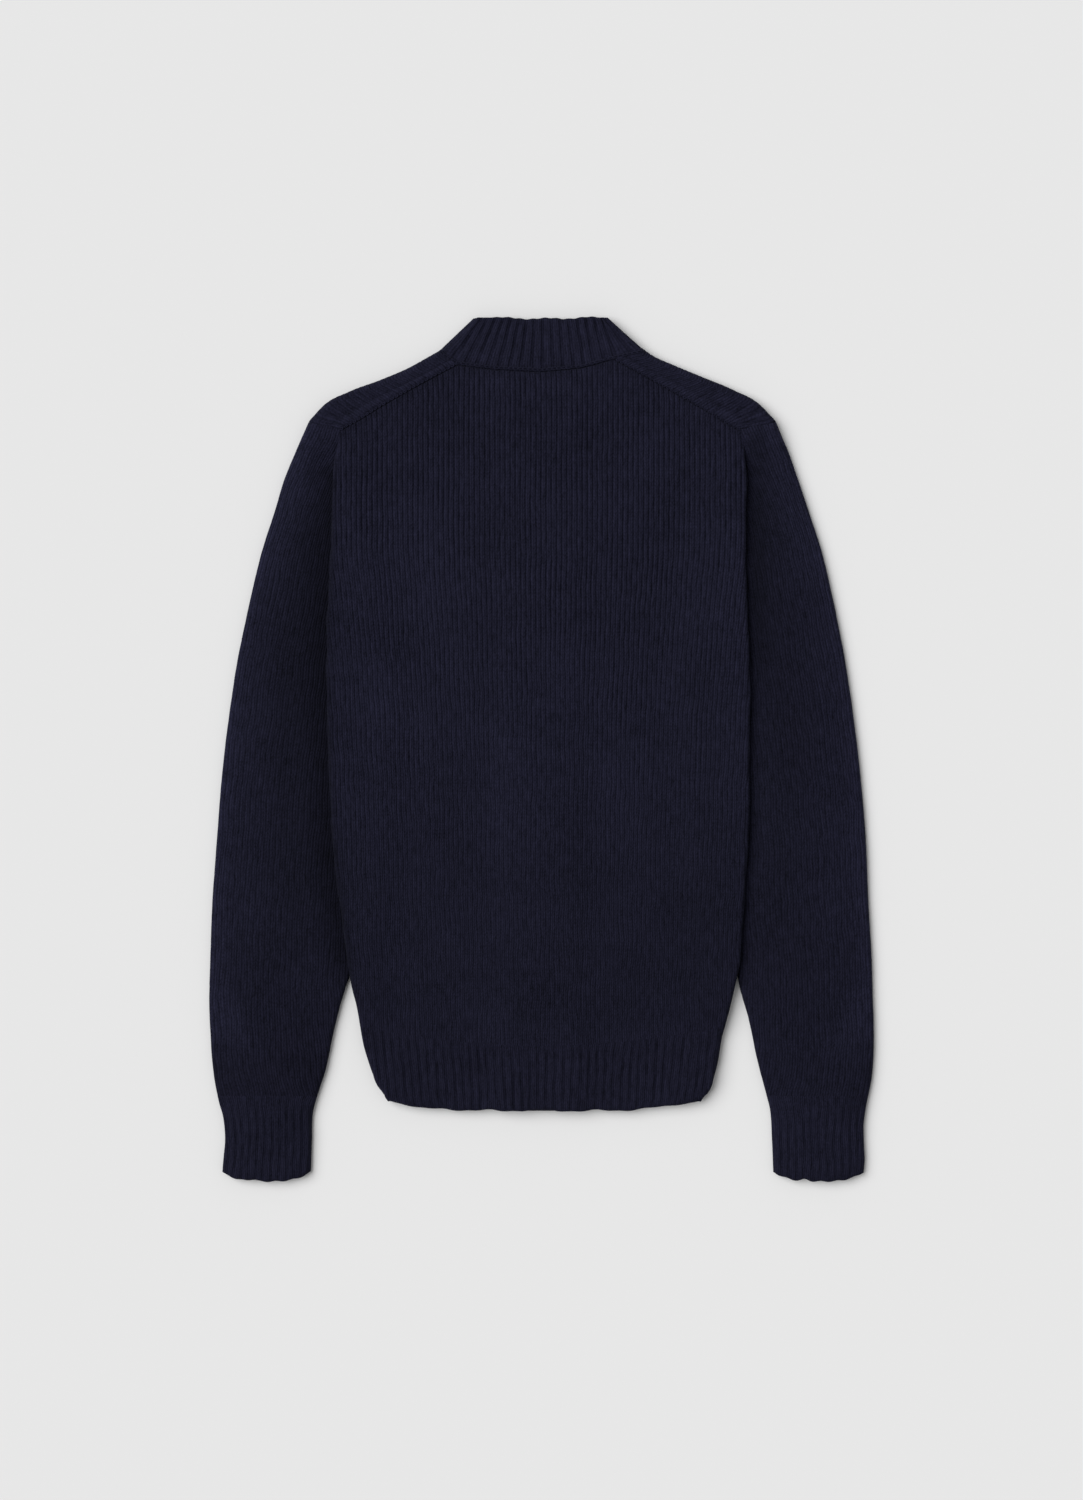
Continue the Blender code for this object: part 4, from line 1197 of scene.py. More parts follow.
class Workroom:
    """The trees and finishes that every piece is made with, and the steps that they share."""

    def __init__(self) -> None:
        """Builds the groups, the trees and the finishes."""
        stitch_group()
        wool_group()
        self.relief = relief_tree()
        self.linking = linking_tree()
        self.row = row_tree()
        self.knit = Wool("navy_wool_knit", "navy_knit", seed=1.0)
        self.rib = Wool("navy_wool_rib", "navy_rib", stitch=0.45, seed=2.0)
        self.horn = Horn()
        self.materials = {finish: finish.build() for finish in (self.knit, self.rib, self.horn)}

    def finish(self, piece: bpy.types.Object, finish: Any, nodes: Sequence[str] = ()) -> None:
        """Puts a piece on the body, hides the model's parts that it stands for and logs its size.
        """
        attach(piece, "root")
        if nodes:
            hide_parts(*nodes)
        faces = len(piece.data.loops) - 2 * len(piece.data.polygons)
        LOG.info("%s: %d triangles, finish %s", piece.name, faces, finish.name)

    def knitted(self, sheet: Sheet, knit: Knit, seed: float, **values: float) -> bpy.types.Object:
        """Makes a knitted piece, its relief drawn in.

        Args:
            sheet: The piece's grid.
            knit: How it is knitted.
            seed: Seed of its unevenness.
            values: Other inputs of the relief tree.

        Returns:
            The finished piece, declared as the node of its name.
        """
        finish = self.knit if knit is Knit.PLAIN else self.rib
        piece = sheet.shell()
        given = {"Knit": knit.value, "Seed": seed, "Material": self.materials[finish]}
        through(piece, self.relief, **{**RELIEFS[knit], **given, **values})
        sheet.sharpen(piece.data)
        self.finish(piece, finish, [sheet.name])
        return piece

    def linked(self, name: str, path: Array, finish: Wool, **values: float) -> bpy.types.Object:
        """Lays a row of yarn links along a path in millimetres."""
        mesh = bpy.data.meshes.new(name)
        ends = [(k, k + 1) for k in range(len(path) - 1)]
        mesh.from_pydata([tuple(point) for point in path * MM], ends, [])
        piece = placed(name, mesh)
        through(piece, self.linking, Material=self.materials[finish], **values)
        self.finish(piece, finish)
        return piece


class Gauge(NamedTuple):
    """The wales across half a piece, the mesh columns to each, and their pitch by height."""

    wales: int
    columns: int
    pitches: tuple


class Section(NamedTuple):
    """A piece of the back: its name, the heights of its rows at the side, its ends and its gauge.

    Both ends are functions of a side and of the columns' shares of the flat half width.
    """

    name: str
    edge_y: Array
    low: Callable
    high: Callable
    gauge: Gauge


@dataclass
class Back:
    """The back panel with its turned-under sides, and the hem rib below it."""

    knit: Gauge = Gauge(41, 5, ((-243.0, 3.95), (-163.0, 4.0), (62.0, 4.22), (180.0, 4.5)))
    ribbing: Gauge = Gauge(42, 4, ((-316.0, 3.58), (-243.0, 3.8)))
    side_top: float = 280.0
    rows: int = 74
    rib_rows: int = 20
    fold_steps: int = 8
    flap_columns: int = 26
    flap_pitch: float = 4.3
    least_flap: float = 0.8
    fading: tuple = ((-243.0, 0.27), (-150.0, 0.33), (-60.0, 0.6), (60.0, 0.97), (190.0, 1.47))
    # Painted shade in the back's colour: darker low down, a painted shadow beside the left fold, a
    # painted highlight on the left and painted shade on the right side, a darker painted line along
    # the top seam, and painted shade over the hem rib
    low_shade: float = 0.13
    low_down: Ramp = Ramp(-30.0, -140.0)
    fold_shade: Patch = Patch(Hump(0.0, 4.5, 0.5), (Ramp(262.0, 236.0), Ramp(-240.0, -180.0)))
    side_shades: tuple = (
        Patch(Hump(-134.0, 32.0, -0.09), (Ramp(250.0, 210.0), Ramp(-220.0, -180.0))),
        Patch(Hump(136.0, 26.0, 0.1), (Ramp(110.0, 50.0), Ramp(-230.0, -180.0))),
    )
    seam_shade: float = 0.16
    rib_shade: float = 0.13
    creases: tuple = (
        Crease(-150.0, 38.0, -98.0, -46.0, 11.0, -0.7),
        Crease(-128.0, 60.0, -92.0, -10.0, 9.0, 0.35),
        Crease(150.0, 96.0, 128.0, -20.0, 14.0, -0.45),
        Crease(-112.0, -150.0, -30.0, -186.0, 12.0, -0.5),
        Crease(40.0, -120.0, 118.0, -150.0, 13.0, 0.45),
        Crease(20.0, -170.0, 132.0, -204.0, 11.0, -0.55),
        Crease(-140.0, -204.0, -60.0, -222.0, 9.0, 0.4),
        Crease(-60.0, 250.0, 10.0, 300.0, 16.0, -0.4),
        Crease(70.0, 286.0, 150.0, 240.0, 15.0, -0.4),
    )

    def half(self, side: Side, part: Section) -> tuple:
        """One half of a section on each row, from the centre to the side seam.

        Args:
            side: The half.
            part: The section.

        Returns:
            The grid of points and their wale counts.
        """
        share = np.linspace(0.0, 1.0, part.gauge.wales * part.gauge.columns + 1)
        edge = part.edge_y[:, None]
        flat = LAY.flat(side, edge)
        low_y, high_y = part.low(side, share), part.high(side, share)
        y = low_y + (high_y - low_y) * (edge - low_y[-1]) / (high_y[-1] - low_y[-1])
        x = share * flat
        z = LAY.back_height(side, x, y, edge) + creased(side.value * x, y, self.creases)
        wales = x / tracks(part.gauge.pitches, 1)(y)

        radius = LAY.fold_radius
        top = LAY.back_height(side, flat, edge, edge)
        turns = np.linspace(0.0, np.pi, self.fold_steps + 1)[1:]
        fold_x = flat + radius * np.sin(turns)
        fold_z = top - radius * (1.0 - np.cos(turns))
        fold_wales = wales[:, -1:] + radius * turns / self.flap_pitch
        end = LAY.half_width(side, edge) - LAY.turned_under(edge)
        end = np.minimum(end, flat - self.least_flap)
        steps = np.linspace(0.0, 1.0, self.flap_columns + 1)[1:]
        flap_x = flat + (end - flat) * steps
        flap_wales = fold_wales[:, -1:] + (flat - flap_x) / self.flap_pitch
        across = np.concatenate([x, fold_x, flap_x], axis=1)
        along = np.concatenate([y, edge + 0.0 * fold_x, edge + 0.0 * flap_x], axis=1)
        height = np.concatenate([z, fold_z, top - 2 * radius + 0.0 * flap_x], axis=1)
        counted = np.concatenate([wales, fold_wales, flap_wales], axis=1)
        points = np.stack([side.value * across, along, height], axis=-1)
        return points, side.value * counted

    def sheet(self, part: Section) -> Sheet:
        """Both halves of a section joined at the centre."""
        points, wales = (
            np.concatenate([left[:, :0:-1], right], axis=1)
            for left, right in zip(*(self.half(side, part) for side in Side))
        )
        relief = np.ones(wales.shape)
        return Sheet(part.name, points, wales, row_courses(points), LAY.body_wall, relief)

    def shade(self, x: Array, y: Array) -> Array:
        """Painted shade: darker low down, a painted shadow beside the left fold, lighter to the
        left and darker to the right.
        """
        inward = np.maximum(LAY.half_width(Side.LEFT, y) + x, 0.0)
        low = self.low_shade * self.low_down(y)
        return low + self.fold_shade(inward, y) + sum(patch(x, y) for patch in self.side_shades)

    def build(self, room: Workroom) -> None:
        def hem_top(side: Side, share: Array) -> Array:
            """The seam above the hem rib."""
            return LAY.hem_top(share)

        def back_top(side: Side, share: Array) -> Array:
            """The shoulder and neck seam."""
            return LAY.top_seam(side.value * share * LAY.flat(side, np.asarray(LAY.top)))

        edge_y = np.linspace(LAY.hem_side, self.side_top, self.rows)
        panel = self.sheet(Section("back_panel", edge_y, hem_top, back_top, self.knit))
        x, y = panel.points[:, :, 0], panel.points[:, :, 1]
        panel.relief = end_relief(panel.points, low=0.3, high=0.3) * tracks(self.fading, 1)(y)
        panel.sewn = (0, -1)
        # Painted shade and highlights on the back, and a darker painted line along its top row at
        # the seam
        panel.hollow = self.shade(x, y)
        panel.hollow[-1:] += self.seam_shade
        values = {"Unevenness": 3.6, "Streak_Length": 0.6, "Wander": 1.0}
        piece = room.knitted(panel, Knit.PLAIN, seed=3.0, **values)
        panel.cut()
        panel.area()

        edge_y = np.linspace(LAY.hem_end, LAY.hem_side, self.rib_rows)
        part = Section("hem_rib_back", edge_y, LAY.hem_bottom, hem_top, self.ribbing)
        rib = self.sheet(part)
        rib.relief = end_relief(rib.points, low=0.75, high=0.25, span=11.0)
        rib.sewn = (-1,)
        # Painted shade over the whole hem rib
        rib.hollow = self.rib_shade
        piece = room.knitted(rib, Knit.RIB, seed=4.0, Depth=0.00113, Wander=1.2)
        rib.cut()
        rib.area()


@dataclass
class Front:
    """One front panel, folded up over the shoulder to its seam on the back, and its hem rib."""

    side: Side
    neck_wales: int = 13
    corner_wales: int = 1
    side_wales: int = 24
    mesh_per_wale: int = 5
    rows: int = 64
    rise_rows: int = 3
    fold_steps: int = 9
    seam_rows: int = 20
    rib_stitches: int = 40
    mesh_per_stitch: int = 4
    rib_rows: int = 18
    corner_spread: float = 1.8
    below_fold: float = 6.0
    below_armhole: float = 3.4
    near_armhole: Ramp = Ramp(0.9, 1.0)
    under: float = 0.14
    roll: Hump = Hump(0.8, 0.12, 0.8)
    groove: Hump = Hump(0.56, 0.09, -0.3)
    sunk: float = 0.8
    sinking: Ramp = Ramp(0.9, 16 / 15)
    folded_relief: float = 0.2
    # Painted shade along the groove and at the seam of the shoulder strip, and a painted highlight
    # on its roll
    groove_shade: Hump = Hump(0.56, 0.08, 0.12)
    roll_shade: Hump = Hump(0.77, 0.12, -0.12)
    seam_shade: float = 0.55
    near_seam: Ramp = Ramp(0.93, 76 / 75)
    link_points: int = 40
    link_sink: float = 0.2
    off_band: Ramp = Ramp(30.0, 50.0)
    off_side: Ramp = Ramp(0.0, 20.0)
    creases: tuple = (
        Crease(60.0, -180.0, 130.0, -90.0, 14.0, 0.5),
        Crease(70.0, 30.0, 150.0, 110.0, 16.0, 0.5),
    )

    def columns(self) -> tuple:
        """Shares of the columns up to the neck corner, then of those from there to the armhole."""
        last = NECK[-1][0]
        inside = np.linspace(0.0, last, self.neck_wales * self.mesh_per_wale + 1)
        corner = np.linspace(last, 1.0, self.corner_wales * self.mesh_per_wale + 1)[1:-1]
        outside = np.linspace(0.0, 1.0, self.side_wales * self.mesh_per_wale + 1)
        return inside, corner, outside

    def past_neck(self) -> Array:
        """Shares of the way from the neckline's last point to the corner, on its columns."""
        inside, corner, _ = self.columns()
        return (corner - inside[-1]) / (1.0 - inside[-1])

    def across(self, edge_y: Array) -> Array:
        """Distance of every column from the centre on each row."""
        inside, corner, outside = self.columns()
        reach = LAY.front_reach(self.side, edge_y)[:, None]
        pull = eased(edge_y / LAY.top)[:, None]
        low_corner = LAY.corner_share(self.side) * reach
        start = LAY.band_half_width + LAY.seam_gap
        low_x = start + (low_corner - start) * np.concatenate([inside, corner])
        high_corner = NECK[-1][1] + self.corner_spread
        near = LAY.neckline(inside)[0]
        high_x = np.concatenate([near, near[-1] + (high_corner - near[-1]) * self.past_neck()])
        neck_x = low_x + (high_x - low_x) * pull
        corner_x = low_corner + (high_corner - low_corner) * pull
        return np.concatenate([neck_x, corner_x + (reach - corner_x) * outside], axis=1)

    def lying(self, edge_y: Array, x: Array, low: Array, high: Array) -> Array:
        """Points on the surface.

        Args:
            edge_y: Height of each row at its side.
            x: Distance of every column from the centre on each row.
            low: Lower end of each column.
            high: Upper end of each column.

        Returns:
            The grid of points.
        """
        y = low + (high - low) * ((edge_y - edge_y[0]) / (edge_y[-1] - edge_y[0]))[:, None]
        inward = LAY.front_reach(self.side, edge_y)[:, None] - x
        raised = creased(x, y, self.creases) * self.off_band(x) * self.off_side(inward)
        z = LAY.front_height(self.side, x, inward, edge_y[:, None]) + raised
        return np.stack([self.side.value * x, y, z], axis=-1)

    def climb(self) -> Array:
        """Shares of the way from the fold to the seam and under the back, one for each row."""
        return np.linspace(0.0, 1.0 + self.under, self.seam_rows)[1:, None]

    def strip(self, fold: Array, outside: Array) -> Array:
        """The strip from the fold to the seam, with a roll and a groove, its end sunk under."""
        up = self.climb()
        steps = up[:, :, None]
        strip = fold[-1:] * (1 - steps) + LAY.shoulder_seam(self.side, outside) * steps
        strip[:, :, 2] += self.roll(up) + self.groove(up) - self.sunk * self.sinking(up)
        return strip

    def panel(self) -> Sheet:
        """The panel's grid, from the hem up to the shoulder seam."""
        inside, _, outside = self.columns()
        fold = LAY.shoulder_fold(self.side, outside, np.linspace(0.0, np.pi, self.fold_steps))
        below = (self.below_fold - self.below_armhole) * self.near_armhole(outside)
        shoulder = fold[0, :, 1] - self.below_fold + below
        neck_y = LAY.neckline(inside)[1]
        between = neck_y[-1] + (shoulder[0] - neck_y[-1]) * self.past_neck()
        edge_y = np.linspace(LAY.hem_side, LAY.top, self.rows)
        x = self.across(edge_y)
        high = np.concatenate([neck_y, between, shoulder])
        grid = self.lying(edge_y, x, LAY.hem_top(x[0] / x[0, -1]), high)

        neck = grid[-1:, : -len(outside)]
        steps = np.linspace(0.0, 1.0, self.rise_rows + 2)[1:-1, None, None]
        rise = grid[-1:, neck.shape[1] :] * (1 - steps) + fold[:1] * steps
        upper = np.concatenate([rise, fold, self.strip(fold, outside)])
        neck = np.repeat(neck, len(upper), axis=0)
        points = np.concatenate([grid, np.concatenate([neck, upper], axis=1)])
        present = np.ones((points.shape[0] - 1, points.shape[1] - 1), bool)
        present[len(grid) - 1 :, : neck.shape[1]] = False
        return self.sheet(f"front_panel_{self.side.word}", points, self.mesh_per_wale, present)

    def rib(self) -> Sheet:
        """The grid of the hem rib."""
        edge_y = np.linspace(LAY.hem_end, LAY.hem_side, self.rib_rows)
        reach = LAY.front_reach(self.side, edge_y)[:, None]
        share = np.linspace(0.0, 1.0, self.rib_stitches * self.mesh_per_stitch + 1)
        start = LAY.band_half_width + LAY.seam_gap
        x = start + (reach - start) * share
        ends = x[-1] / x[-1, -1]
        points = self.lying(edge_y, x, LAY.hem_bottom(self.side, ends), LAY.hem_top(ends))
        return self.sheet(f"hem_rib_front_{self.side.word}", points, self.mesh_per_stitch)

    def sheet(
        self, name: str, points: Array, per_wale: int, present: Optional[Array] = None
    ) -> Sheet:
        """A sheet from a grid that runs from the band outwards, its outer face down."""
        wales = np.broadcast_to(np.arange(points.shape[1]) / per_wale, points.shape[:2])
        relief = np.ones(wales.shape)
        made = Sheet(name, points, wales, row_courses(points), LAY.body_wall, relief, present)
        return self.side.pick(made, made.turned_over())

    def build(self, room: Workroom) -> None:
        panel = self.panel()
        panel.relief = end_relief(panel.points, low=0.3, high=0.2)
        panel.relief[self.rows - 1 :] *= self.folded_relief
        up = self.climb()
        # Painted shade in the strip's groove and at its seam, with a painted highlight on the roll
        # between
        seam = self.seam_shade * self.near_seam(up)
        panel.hollow = np.zeros(panel.relief.shape)
        panel.hollow[-len(up) :] = self.groove_shade(up) + seam + self.roll_shade(up)
        panel.sewn = (0, -1)
        piece = room.knitted(panel, Knit.PLAIN, seed=5.0 + self.side.value)
        path = LAY.shoulder_seam(self.side, np.linspace(0.0, 1.0, self.link_points))
        path[:, 2] += 0.5 * LAY.body_wall - self.link_sink
        values = {"Spacing": 0.0042, "Link_Length": 0.003, "Link_Width": 0.0016}
        name = f"shoulder_links_{self.side.word}"
        links = room.linked(name, path, room.knit, Seed=11, Yarn_Radius=0.0006, **values)
        panel.cut()
        panel.area()
        rib = self.rib()
        rib.relief = end_relief(rib.points, low=0.75, high=0.15, span=13.0)
        rib.sewn = (-1,)
        piece = room.knitted(rib, Knit.RIB, seed=8.0 + self.side.value)
        rib.cut()
        rib.area()


@dataclass
class NeckBand:
    """The ribbed stand round the neck, folded where it turns from the fronts to the back."""

    tip_left: tuple = (60.4, 379.4)
    tip_right: tuple = (59.6, 379.4)
    rounding: float = 0.9
    corner_left: float = 52.0
    corner_right: float = 52.5
    near_corner: Ramp = Ramp(0.84, 1.0)
    top: float = 380.2
    dip: float = 1.8
    waves: tuple = (Wave(0.6, 1 / 9, 0.7), Wave(0.35, 1 / 31))
    pitch: float = 4.2
    mesh_step: float = 0.95
    rows: int = 20
    front_points: int = 50
    fold_points: int = 11
    back_points: int = 40
    under: float = 2.2
    sunk: float = 0.9
    sinking: Ramp = Ramp(1 / 6, 0.0)
    link_slack: float = 0.2
    link_shift: float = 0.4

    def front(self, side: Side) -> tuple:
        """Seam and free points on one front, band to shoulder."""
        share = np.linspace(0.0, NECK[-1][0], self.front_points)
        seam_x, seam_y, free_x, free_y = LAY.neckline(share)
        ends = []
        for x, y in ((seam_x, seam_y), (free_x, free_y)):
            z = LAY.front_height(side, x, np.full(x.shape, np.inf), np.zeros(x.shape))
            ends.append(np.stack([side.value * x, y, z], axis=-1))
        return tuple(ends)

    def turn(self, side: Side) -> tuple:
        """Seam and free points where the band folds over beside the neck."""
        turns = np.linspace(0.0, np.pi, self.fold_points)
        seam = LAY.shoulder_fold(side, np.array([0.0]), turns)[:, 0]
        x, y = side.pick(self.tip_left, self.tip_right)
        step = LAY.neck_fold * np.sin(turns) - 0.5 * LAY.body_wall - LAY.neck_fold
        z = LAY.front_level + LAY.neck_fold * (1.0 - np.cos(turns))
        y = y - self.rounding * np.sin(turns) ** 2
        return seam, np.stack([side.value * (x + step), y, z], axis=-1)

    def back(self, side: Side) -> tuple:
        """Seam and free points across one half of the back, neck corner to centre."""
        share = np.linspace(1.0, 0.0, self.back_points)
        x = share * LAY.corner(side)
        y = LAY.top_seam(side.value * x)
        z = LAY.back_height(side, x, y, np.asarray(LAY.top))
        seam = np.stack([side.value * x, y, z], axis=-1)
        corner = side.pick(self.corner_left, self.corner_right)
        uneven = sum(wave(side.value * share) for wave in self.waves)
        free_y = self.top - self.dip * (1.0 - share * share) + uneven * (1.0 - share**6)
        free_y = free_y - self.rounding * self.near_corner(share)
        free = np.stack([side.value * share * corner, free_y, LAY.back_level + 0.0 * x], axis=-1)
        return seam, free

    def stations(self) -> tuple:
        """Distances round the band, even at mid height, then its seam and free points there."""
        halves = []
        for side in Side:
            parts = (self.front(side), self.turn(side), self.back(side))
            half = np.stack([np.concatenate([part[end] for part in parts]) for end in (0, 1)])
            halves.append(half)
        both = np.concatenate([halves[0], halves[1][:, ::-1]], axis=1)
        run = run_along(both.mean(axis=0))
        even = np.linspace(0.0, run[-1], round(run[-1] / self.mesh_step))
        seam, free = (
            np.stack([np.interp(even, run, end[:, axis]) for axis in range(3)], axis=-1)
            for end in both
        )
        return even, seam, free

    def sheet(self, run: Array, seam: Array, free: Array) -> Sheet:
        """The band's grid between its seam, which is sunk under the panels, and its free edge."""
        length = np.linalg.norm(free - seam, axis=1)[:, None]
        steps = np.linspace(0.0, 1.0, self.rows)[:, None, None]
        share = steps - (self.under / length) * (1.0 - steps)
        points = seam + (free - seam) * share
        inward = np.where(seam[:, 2] > 0.5 * LAY.back_level, -1.0, 1.0)
        points[:, :, 2] += inward * self.sunk * self.sinking(steps[:, :, 0])
        stitches = 2.0 * round(run[-1] / self.pitch / 2.0)
        wales = np.broadcast_to(run / run[-1] * stitches, points.shape[:2])
        relief = end_relief(points, low=0.55, high=0.6, span=6.0)
        return Sheet("neck_rib", points, wales, row_courses(points), LAY.body_wall, relief)

    def build(self, room: Workroom) -> None:
        """Makes the band and the linked seam that holds it on the back."""
        run, seam, free = self.stations()
        band = self.sheet(run, seam, free)
        piece = room.knitted(band, Knit.RIB, seed=12.0, Wander=0.5)
        on_back = seam[:, 2] > LAY.back_level - self.link_slack
        path = seam[on_back] + np.array([0.0, self.link_shift, 0.5 * LAY.body_wall])
        values = {"Spacing": 0.0042, "Link_Length": 0.0052, "Wale": 0.1}
        links = room.linked("neck_links", path, room.rib, Seed=12, **values)
        band.cut()
        band.area()


class Shade(NamedTuple):
    """Painted shade on one sleeve: a painted shadow beside the body, then how much across it, at
    cap and wrist.
    """

    beside: Patch
    broad: float
    cap: float
    wrist: float


# Painted shade of each sleeve; the deepest is a painted shadow in the crease beside the body
SLEEVE_SHADES = {
    Side.LEFT: Shade(
        Patch(Hump(0.0, 14.0, 0.27), (Ramp(262.0, 234.0), Ramp(-216.0, -176.0))), 0.28, 0.33, 0.12
    ),
    Side.RIGHT: Shade(
        Patch(Hump(11.0, 9.5, 0.29), (Ramp(290.0, 262.0), Ramp(0.0, 150.0))), 0.21, 0.24, 0.03
    ),
}
SLEEVE_CREASES = {
    Side.LEFT: (
        Crease(206.0, 60.0, 262.0, 30.0, 9.0, -0.6),
        Crease(214.0, 20.0, 268.0, -14.0, 8.0, 0.45),
        Crease(210.0, -70.0, 262.0, -96.0, 10.0, -0.55),
        Crease(200.0, -180.0, 250.0, -214.0, 10.0, -0.5),
        Crease(206.0, -270.0, 272.0, -284.0, 9.0, 0.35),
        Crease(208.0, -250.0, 262.0, -256.0, 8.0, -0.25),
        Crease(204.0, -302.0, 278.0, -303.0, 6.0, -0.5),
    ),
    Side.RIGHT: (
        Crease(208.0, 90.0, 256.0, 52.0, 10.0, -0.5),
        Crease(216.0, 0.0, 266.0, -22.0, 8.0, -0.6),
        Crease(212.0, -30.0, 262.0, -58.0, 8.0, 0.45),
        Crease(206.0, -130.0, 262.0, -150.0, 11.0, -0.5),
        Crease(202.0, -214.0, 268.0, -236.0, 10.0, 0.5),
        Crease(206.0, -274.0, 276.0, -286.0, 8.0, 0.35),
        Crease(206.0, -302.0, 280.0, -304.0, 6.0, -0.5),
    ),
}


@dataclass
class Sleeve:
    """One sleeve, a flattened tube beside the body, and the ribbed cuff at its end."""

    side: Side
    rings: int = 124
    open_share: float = 0.45
    armhole_end: float = 26.0
    across: int = 104
    edge_steps: int = 12
    inner_steps: int = 5
    over: float = 2.6
    over_cap: Ramp = Ramp(250.0, 266.0)
    pitch: float = 4.8
    relief: float = 0.42
    low_relief: float = 0.12
    low_fading: Ramp = Ramp(60.0, -100.0)
    cap_relief: float = 0.24
    cap_fading: Ramp = Ramp(140.0, 250.0)
    right_relief: float = 0.86
    # Painted shade in the sleeve's colour: broad from the body outwards, near the cap beside the
    # body, at the outer wrist, over all below the cap and more low down. The painted highlights
    # lighten the outer rim above the wrist, the outer upper sleeve and the inner side near the
    # wrist
    broad: Patch = Patch(Ramp(0.85, 0.3), (Ramp(236.0, 176.0), Ramp(-215.0, -115.0)))
    cap: Patch = Patch(Decay(12.0), (Ramp(176.0, 236.0), Ramp(262.0, 234.0)))
    wrist: Patch = Patch(Ramp(0.1, 0.5), (Ramp(-250.0, -280.0),))
    washes: tuple = (
        Patch(Ramp(0.8, 1.0), (Ramp(-290.0, -210.0),), -0.3),
        Patch(Ramp(0.45, 0.75), (Ramp(130.0, 180.0),), -0.15),
        Patch(Ramp(0.5, 0.1), (Ramp(-205.0, -235.0),), -0.06),
    )
    arm_shade: float = 0.05
    below_cap: Ramp = Ramp(240.0, 160.0)
    low_shade: float = 0.184
    low_easing: float = 0.064
    low_down: Ramp = Ramp(-120.0, -210.0)
    cuff_rings: int = 20
    cuff_stitches: int = 24
    cuff_side: float = -370.5
    cuff_centre: float = -378.6
    cuff_bump: Hump = Hump(-0.3, 0.12, 1.6)
    cuff_wave: Wave = Wave(0.5, 1 / 17, 1.0)
    # Painted shade over each whole cuff, deeper on the right
    cuff_shade_left: float = 0.09
    cuff_shade_right: float = 0.14

    def section(self, outer: tuple, inner: tuple, is_open: Array) -> Array:
        """Rings of the tube: from the under-arm below, round the outer edge, back on top.

        Args:
            outer: x and y of the outer edge on each ring.
            inner: x and y of the inner edge.
            is_open: Whether each ring ends at the armhole.

        Returns:
            The grid of points.
        """
        outer_x, outer_y, inner_x, inner_y = (part[:, None] for part in (*outer, *inner))
        width = outer_x - inner_x
        under = LAY.sleeve_under
        outer_bend, inner_bend = (
            0.5 * (LAY.sleeve_height(self.side, np.full(width.shape, end), x, inner_y) - under)
            for end, x in ((0.0, outer_x), (1.0, inner_x))
        )
        start = (under + outer_bend) / width
        stop = np.where(is_open[:, None], 1.0, 1.0 - (under + inner_bend) / width)
        steps = np.linspace(0.0, 1.0, self.across + 1)
        over = self.over * self.over_cap(inner_y) * is_open[:, None] / width
        low_share = start + (stop - start) * steps
        share = start + (stop + over - start) * steps
        x = outer_x + (inner_x - outer_x) * share
        y = outer_y + (inner_y - outer_y) * share
        raised = creased(x, y, SLEEVE_CREASES[self.side])
        top = LAY.sleeve_height(self.side, share, x, y) + raised

        edge = np.linspace(0.0, np.pi, self.edge_steps + 1)[1:-1]
        round_edge = start - outer_bend * np.sin(edge) / width
        edge_z = under + outer_bend * (1.0 - np.cos(edge))
        half = np.linspace(0.0, 0.5 * np.pi, self.inner_steps + 1)[1:]
        round_top = stop + inner_bend * np.sin(half) / width
        top_z = under + inner_bend * (1.0 + np.cos(half))
        low_z = under + inner_bend * (1.0 - np.cos(half[::-1]))
        level = np.full(share.shape, under)
        shares = [round_top[:, ::-1], low_share[:, ::-1], round_edge, share, round_top]
        share = np.concatenate(shares, axis=1)
        z = np.concatenate([low_z, level, edge_z, top, top_z], axis=1)
        x = outer_x + (inner_x - outer_x) * share
        y = outer_y + (inner_y - outer_y) * share
        return np.stack([self.side.value * x, y, z], axis=-1)

    def counted(self, points: Array) -> Array:
        """Distance round each ring from the outermost point, on top above 0."""
        run = run_along(points, axis=1)
        outermost = self.inner_steps + self.across + self.edge_steps // 2
        return run - run[:, outermost : outermost + 1]

    def sheet(
        self, name: str, points: Array, wales: Array, present: Optional[Array] = None
    ) -> Sheet:
        """A sheet from rings that run down the sleeve, its outer face out."""
        relief = np.ones(wales.shape)
        made = Sheet(name, points, wales, row_courses(points), LAY.sleeve_wall, relief, present)
        return self.side.pick(made.turned_over(), made)

    def sleeve(self) -> Sheet:
        """The sleeve's grid."""
        open_rings = round(self.rings * self.open_share)
        upper = np.linspace(SLEEVE_RINGS[0][0], self.armhole_end, open_rings)
        lower = np.linspace(self.armhole_end, LAY.cuff_top, self.rings - open_rings)
        outer_y = np.concatenate([upper, lower[1:]])
        inner_y = tracks(SLEEVE_RINGS, 1)(outer_y)
        outer = (LAY.outers[self.side](outer_y), outer_y)
        inner = (LAY.sleeve_inner(self.side, inner_y), inner_y)
        points = self.section(outer, inner, np.arange(len(outer_y)) < open_rings - 1)
        present = np.ones((points.shape[0] - 1, points.shape[1] - 1), bool)
        present[: open_rings - 1, : self.inner_steps] = False
        present[: open_rings - 1, -self.inner_steps :] = False
        wales = self.counted(points) / self.pitch
        return self.sheet(f"sleeve_{self.side.word}", points, wales, present)

